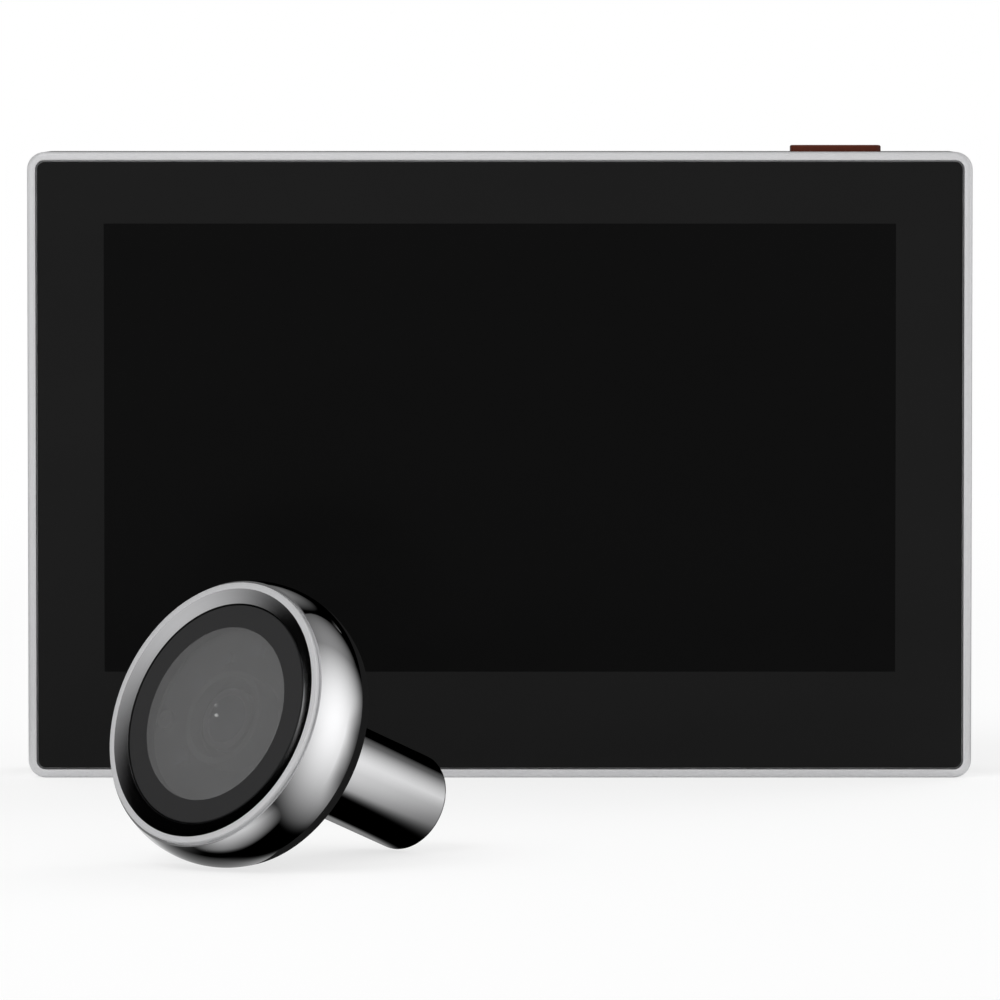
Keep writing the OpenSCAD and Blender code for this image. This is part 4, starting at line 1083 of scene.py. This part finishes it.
def product(*values):
    total = values[0]
    for value in values[1:]:
        total = calculate(table_card, "MULTIPLY", total, value)
    return total


def fade(value, dark_mm, bright_mm, top=1.0, soft=True):
    """A rise from nought to the top between two distances."""
    return rescale(table_card, value, dark_mm * MM, bright_mm * MM, 0.0, top, soft)


print("table card corners:", len(card_outline))

# %% [markdown]
# Straight under the unit the card is black. A bright patch lies in front of the place where the head touches
# the table, a grey one round that place itself, and a faint one behind it, which the barrel mirrors. The
# light behind the unit is dimmed a little near it. Further to the front, and at the monitor's foot, the card
# lets the white table through.

# %% Light on the table
FRONT_SHIFT = Vector((-0.9, -6.2, 15.4)) * MM
BACK_MIDDLE_Z = 7 * MM
NEAR_REACH_MM, NEAR_SHARE = 45, 0.77
CORRIDOR_AZIMUTH, CORRIDOR_EDGE, CORRIDOR_FULL = -6, 0.80, 0.93
front_patch = product(fade(along(-32), 4.4, 8.0, 0.64, soft=False), fade(along(58), -3, 5),
                      fade(along(58), 17, 7), fade(along(-19), 5.3, 6.3), fade(reach, 120, 40))
touch_patch = product(fade(along(-19), 4.6, -4, 0.6, soft=False), fade(along(90), 9, 3),
                      fade(along(17), 5.6, 3.6), fade(reach, 60, 25))
barrel_patch = product(fade(along(-153), 8.9, 11.5, 0.22), fade(reach, 80, 40))
back_middle = Vector((card_middle.x, card_middle.y, BACK_MIDDLE_Z))
front_light = fading_light(table_card, RIGHT_AXIS, *RIGHT_FADE, TOUCH + FRONT_SHIFT)
back_light = fading_light(table_card, RIGHT_AXIS, *RIGHT_FADE, back_middle)
nearness = calculate(table_card, "DIVIDE", MM, reach)
dimming = rescale(table_card, nearness, 0.0, 1 / NEAR_REACH_MM, 1.0, NEAR_SHARE, soft=False)
to_back = calculate(table_card, "SUBTRACT", product(back_light, dimming), front_light)
right_light = calculate(table_card, "ADD", front_light, product(to_back, fade(along(180), -6, 6)))
light = product(right_light, fade(along(61), 9.5, 14))
for patch in (fading_light(table_card, LEFT_AXIS, *LEFT_FADE), front_patch, touch_patch, barrel_patch):
    light = calculate(table_card, "MAXIMUM", light, patch)
to_front = towards(table_card, direction(CORRIDOR_AZIMUTH, 0))
corridor = product(rescale(table_card, to_front, CORRIDOR_EDGE, CORRIDOR_FULL), fade(reach, 90, 200))
from_middle = calculate(table_card, "ABSOLUTE", calculate(table_card, "ADD", along(90), TOUCH.x), 0.0)
at_monitor = product(fade(along(180), 60, 100), fade(from_middle, 80, 62))
show(table_card, light, calculate(table_card, "MAXIMUM", corridor, at_monitor))
print("table card nodes:", len(table_card.node_tree.nodes))

# %% [markdown]
# Two large dark cards come next. One hangs above and behind the object, gives the ring's bevel and the top
# of the dome something black to mirror, and fades out to nothing at its rim. The other hides the monitor from
# the chrome, and only from that side: what leaves the monitor passes through it.

# %% Dark cards
DARK_AXIS, DARK_CAP_R = direction(-165, 50), 2.2
DARK_FULL_ANGLE, DARK_HALF_ANGLE = radians(40), radians(56)
DARK_GLOW_AXIS, DARK_GLOW_FADE = direction(-170, 42), (0.88, 1.2, 0.3)
dark_card = add_cap("dark_card", DARK_AXIS, DARK_CAP_R, DARK_HALF_ANGLE)
dark_edge = rescale(dark_card, towards(dark_card, DARK_AXIS), cos(DARK_FULL_ANGLE), cos(DARK_HALF_ANGLE))
show(dark_card, fading_light(dark_card, DARK_GLOW_AXIS, *DARK_GLOW_FADE), dark_edge)
MONITOR_CARD_GAP = 0.3 * MM
half_w, card_y = monitor_w / 2 + MONITOR_CARD_GAP, front_y - MONITOR_CARD_GAP
card_corners = [(-half_w, 0), (half_w, 0), (half_w, monitor_h), (-half_w, monitor_h)]
monitor_card = add_card("monitor_card", [(x, card_y, z) for x, z in card_corners], [(0, 1, 2, 3)])
show(monitor_card, 0.0, add_node(monitor_card, "ShaderNodeNewGeometry").outputs["Backfacing"])
print("dark cards ready")

# %% [markdown]
# A dark line runs along the dome's back edge. A dark ring close behind the head draws it, and a second ring
# round the first softens it on the right.

# %% Rings behind the head
EDGE_CARD_IN_R, EDGE_CARD_OUT_R, SOFT_EDGE_R = 12 * MM, 15.85 * MM, 20.3 * MM
EDGE_CARD_Z = -1 * MM
EDGE_GLOW = 0.012
SOFT_EDGE_LEAD = 0.35 * MM
# Along an axis of the room, the places in mm where the soft ring is clear and where it is dark
SOFT_EDGE_FADES = (("Z", 19.5, 14), ("Z", 4, 9), ("X", -26, -18))


def add_ring(name, in_r, out_r):
    """A card that is a flat ring behind the head, round the unit's axis."""
    return add_card(name, *skin(turned([(in_r, EDGE_CARD_Z), (out_r, EDGE_CARD_Z)])), lying)


show(add_ring("edge_card", EDGE_CARD_IN_R, EDGE_CARD_OUT_R), EDGE_GLOW)
soft_edge = add_ring("soft_edge_card", EDGE_CARD_OUT_R, SOFT_EDGE_R)
ring_places, ring_middle = own_places(soft_edge), lying @ Vector((0, 0, EDGE_CARD_Z))
from_axis = vector_math(soft_edge, "DISTANCE", ring_places, ring_middle)["Value"]
dark_r = EDGE_CARD_OUT_R - SOFT_EDGE_LEAD
darkness = rescale(soft_edge, from_axis, dark_r, SOFT_EDGE_R, 1.0, 0.0, soft=False)
sides = add_node(soft_edge, "ShaderNodeSeparateXYZ", {0: ring_places}).outputs
for side, clear_mm, dark_mm in SOFT_EDGE_FADES:
    share = rescale(soft_edge, sides[side], clear_mm * MM, dark_mm * MM)
    darkness = calculate(soft_edge, "MULTIPLY", darkness, share)
show(soft_edge, EDGE_GLOW, calculate(soft_edge, "SUBTRACT", 1.0, darkness))
print("ring radii mm:", in_mm(EDGE_CARD_IN_R, EDGE_CARD_OUT_R, SOFT_EDGE_R))

# %% [markdown]
# A lens looks alive when something small and bright glints in it. Two tiny bright discs hang just over the
# lens, behind the window, each where the crown mirrors it to the viewer. The place follows from the mirror's
# law: the crown's own direction at the glint lies halfway between the disc and the viewer.

# %% Glints in the lens
# Each glint has the azimuth and elevation of the crown's own direction there, a radius in mm and a strength
GLINTS = ((-50.7, 21.8, 0.2, 17.0), (-54.7, 28.0, 0.17, 3.6))
GLINT_GAP, GLINT_SIDES = 0.35 * MM, 24
crown_middle = lying @ Vector((0, 0, lens_apex - crown_r))
for number, (azimuth, elevation, radius_mm, strength) in enumerate(GLINTS, 1):
    upright = direction(azimuth, elevation)
    spot = crown_middle + upright * crown_r
    to_eye = (eye - spot).normalized()
    mirrored = 2 * upright.dot(to_eye) * upright - to_eye
    disc = skin(turned([(radius_mm * MM, 0)], GLINT_SIDES), cap_last=True)
    show(add_card(f"glint_card_{number}", *disc, aimed(spot + mirrored * GLINT_GAP, mirrored)), strength)
print("glints:", len(GLINTS), "room over the lens mm:", in_mm(window_back - lens_apex))

# %% [markdown]
# Two large soft lamps give the object its form: a key from the upper left in front and a weaker one behind,
# so that no side falls into the dark when the object is turned. Mirrors don't show them: the cards do that.

# %% Lamps
LAMP_SIZE = 0.9
# Place in metres and watts
LAMPS = {"key_lamp": ((-0.7, -0.9, 1.2), 9), "back_lamp": ((0.6, 0.9, 1.0), 5)}
for name, (place, watts) in LAMPS.items():
    lamp_data = bpy.data.lights.new(name, "AREA")
    lamp_data.shape = "DISK"
    lamp_data.size = LAMP_SIZE
    lamp_data.energy = watts
    lamp = bpy.data.objects.new(name, lamp_data)
    lamp.location = place
    lamp.rotation_euler = (-Vector(place)).to_track_quat("-Z", "Y").to_euler()
    lamp.visible_glossy = False
    scene.collection.objects.link(lamp)
print("lamps:", len(LAMPS))
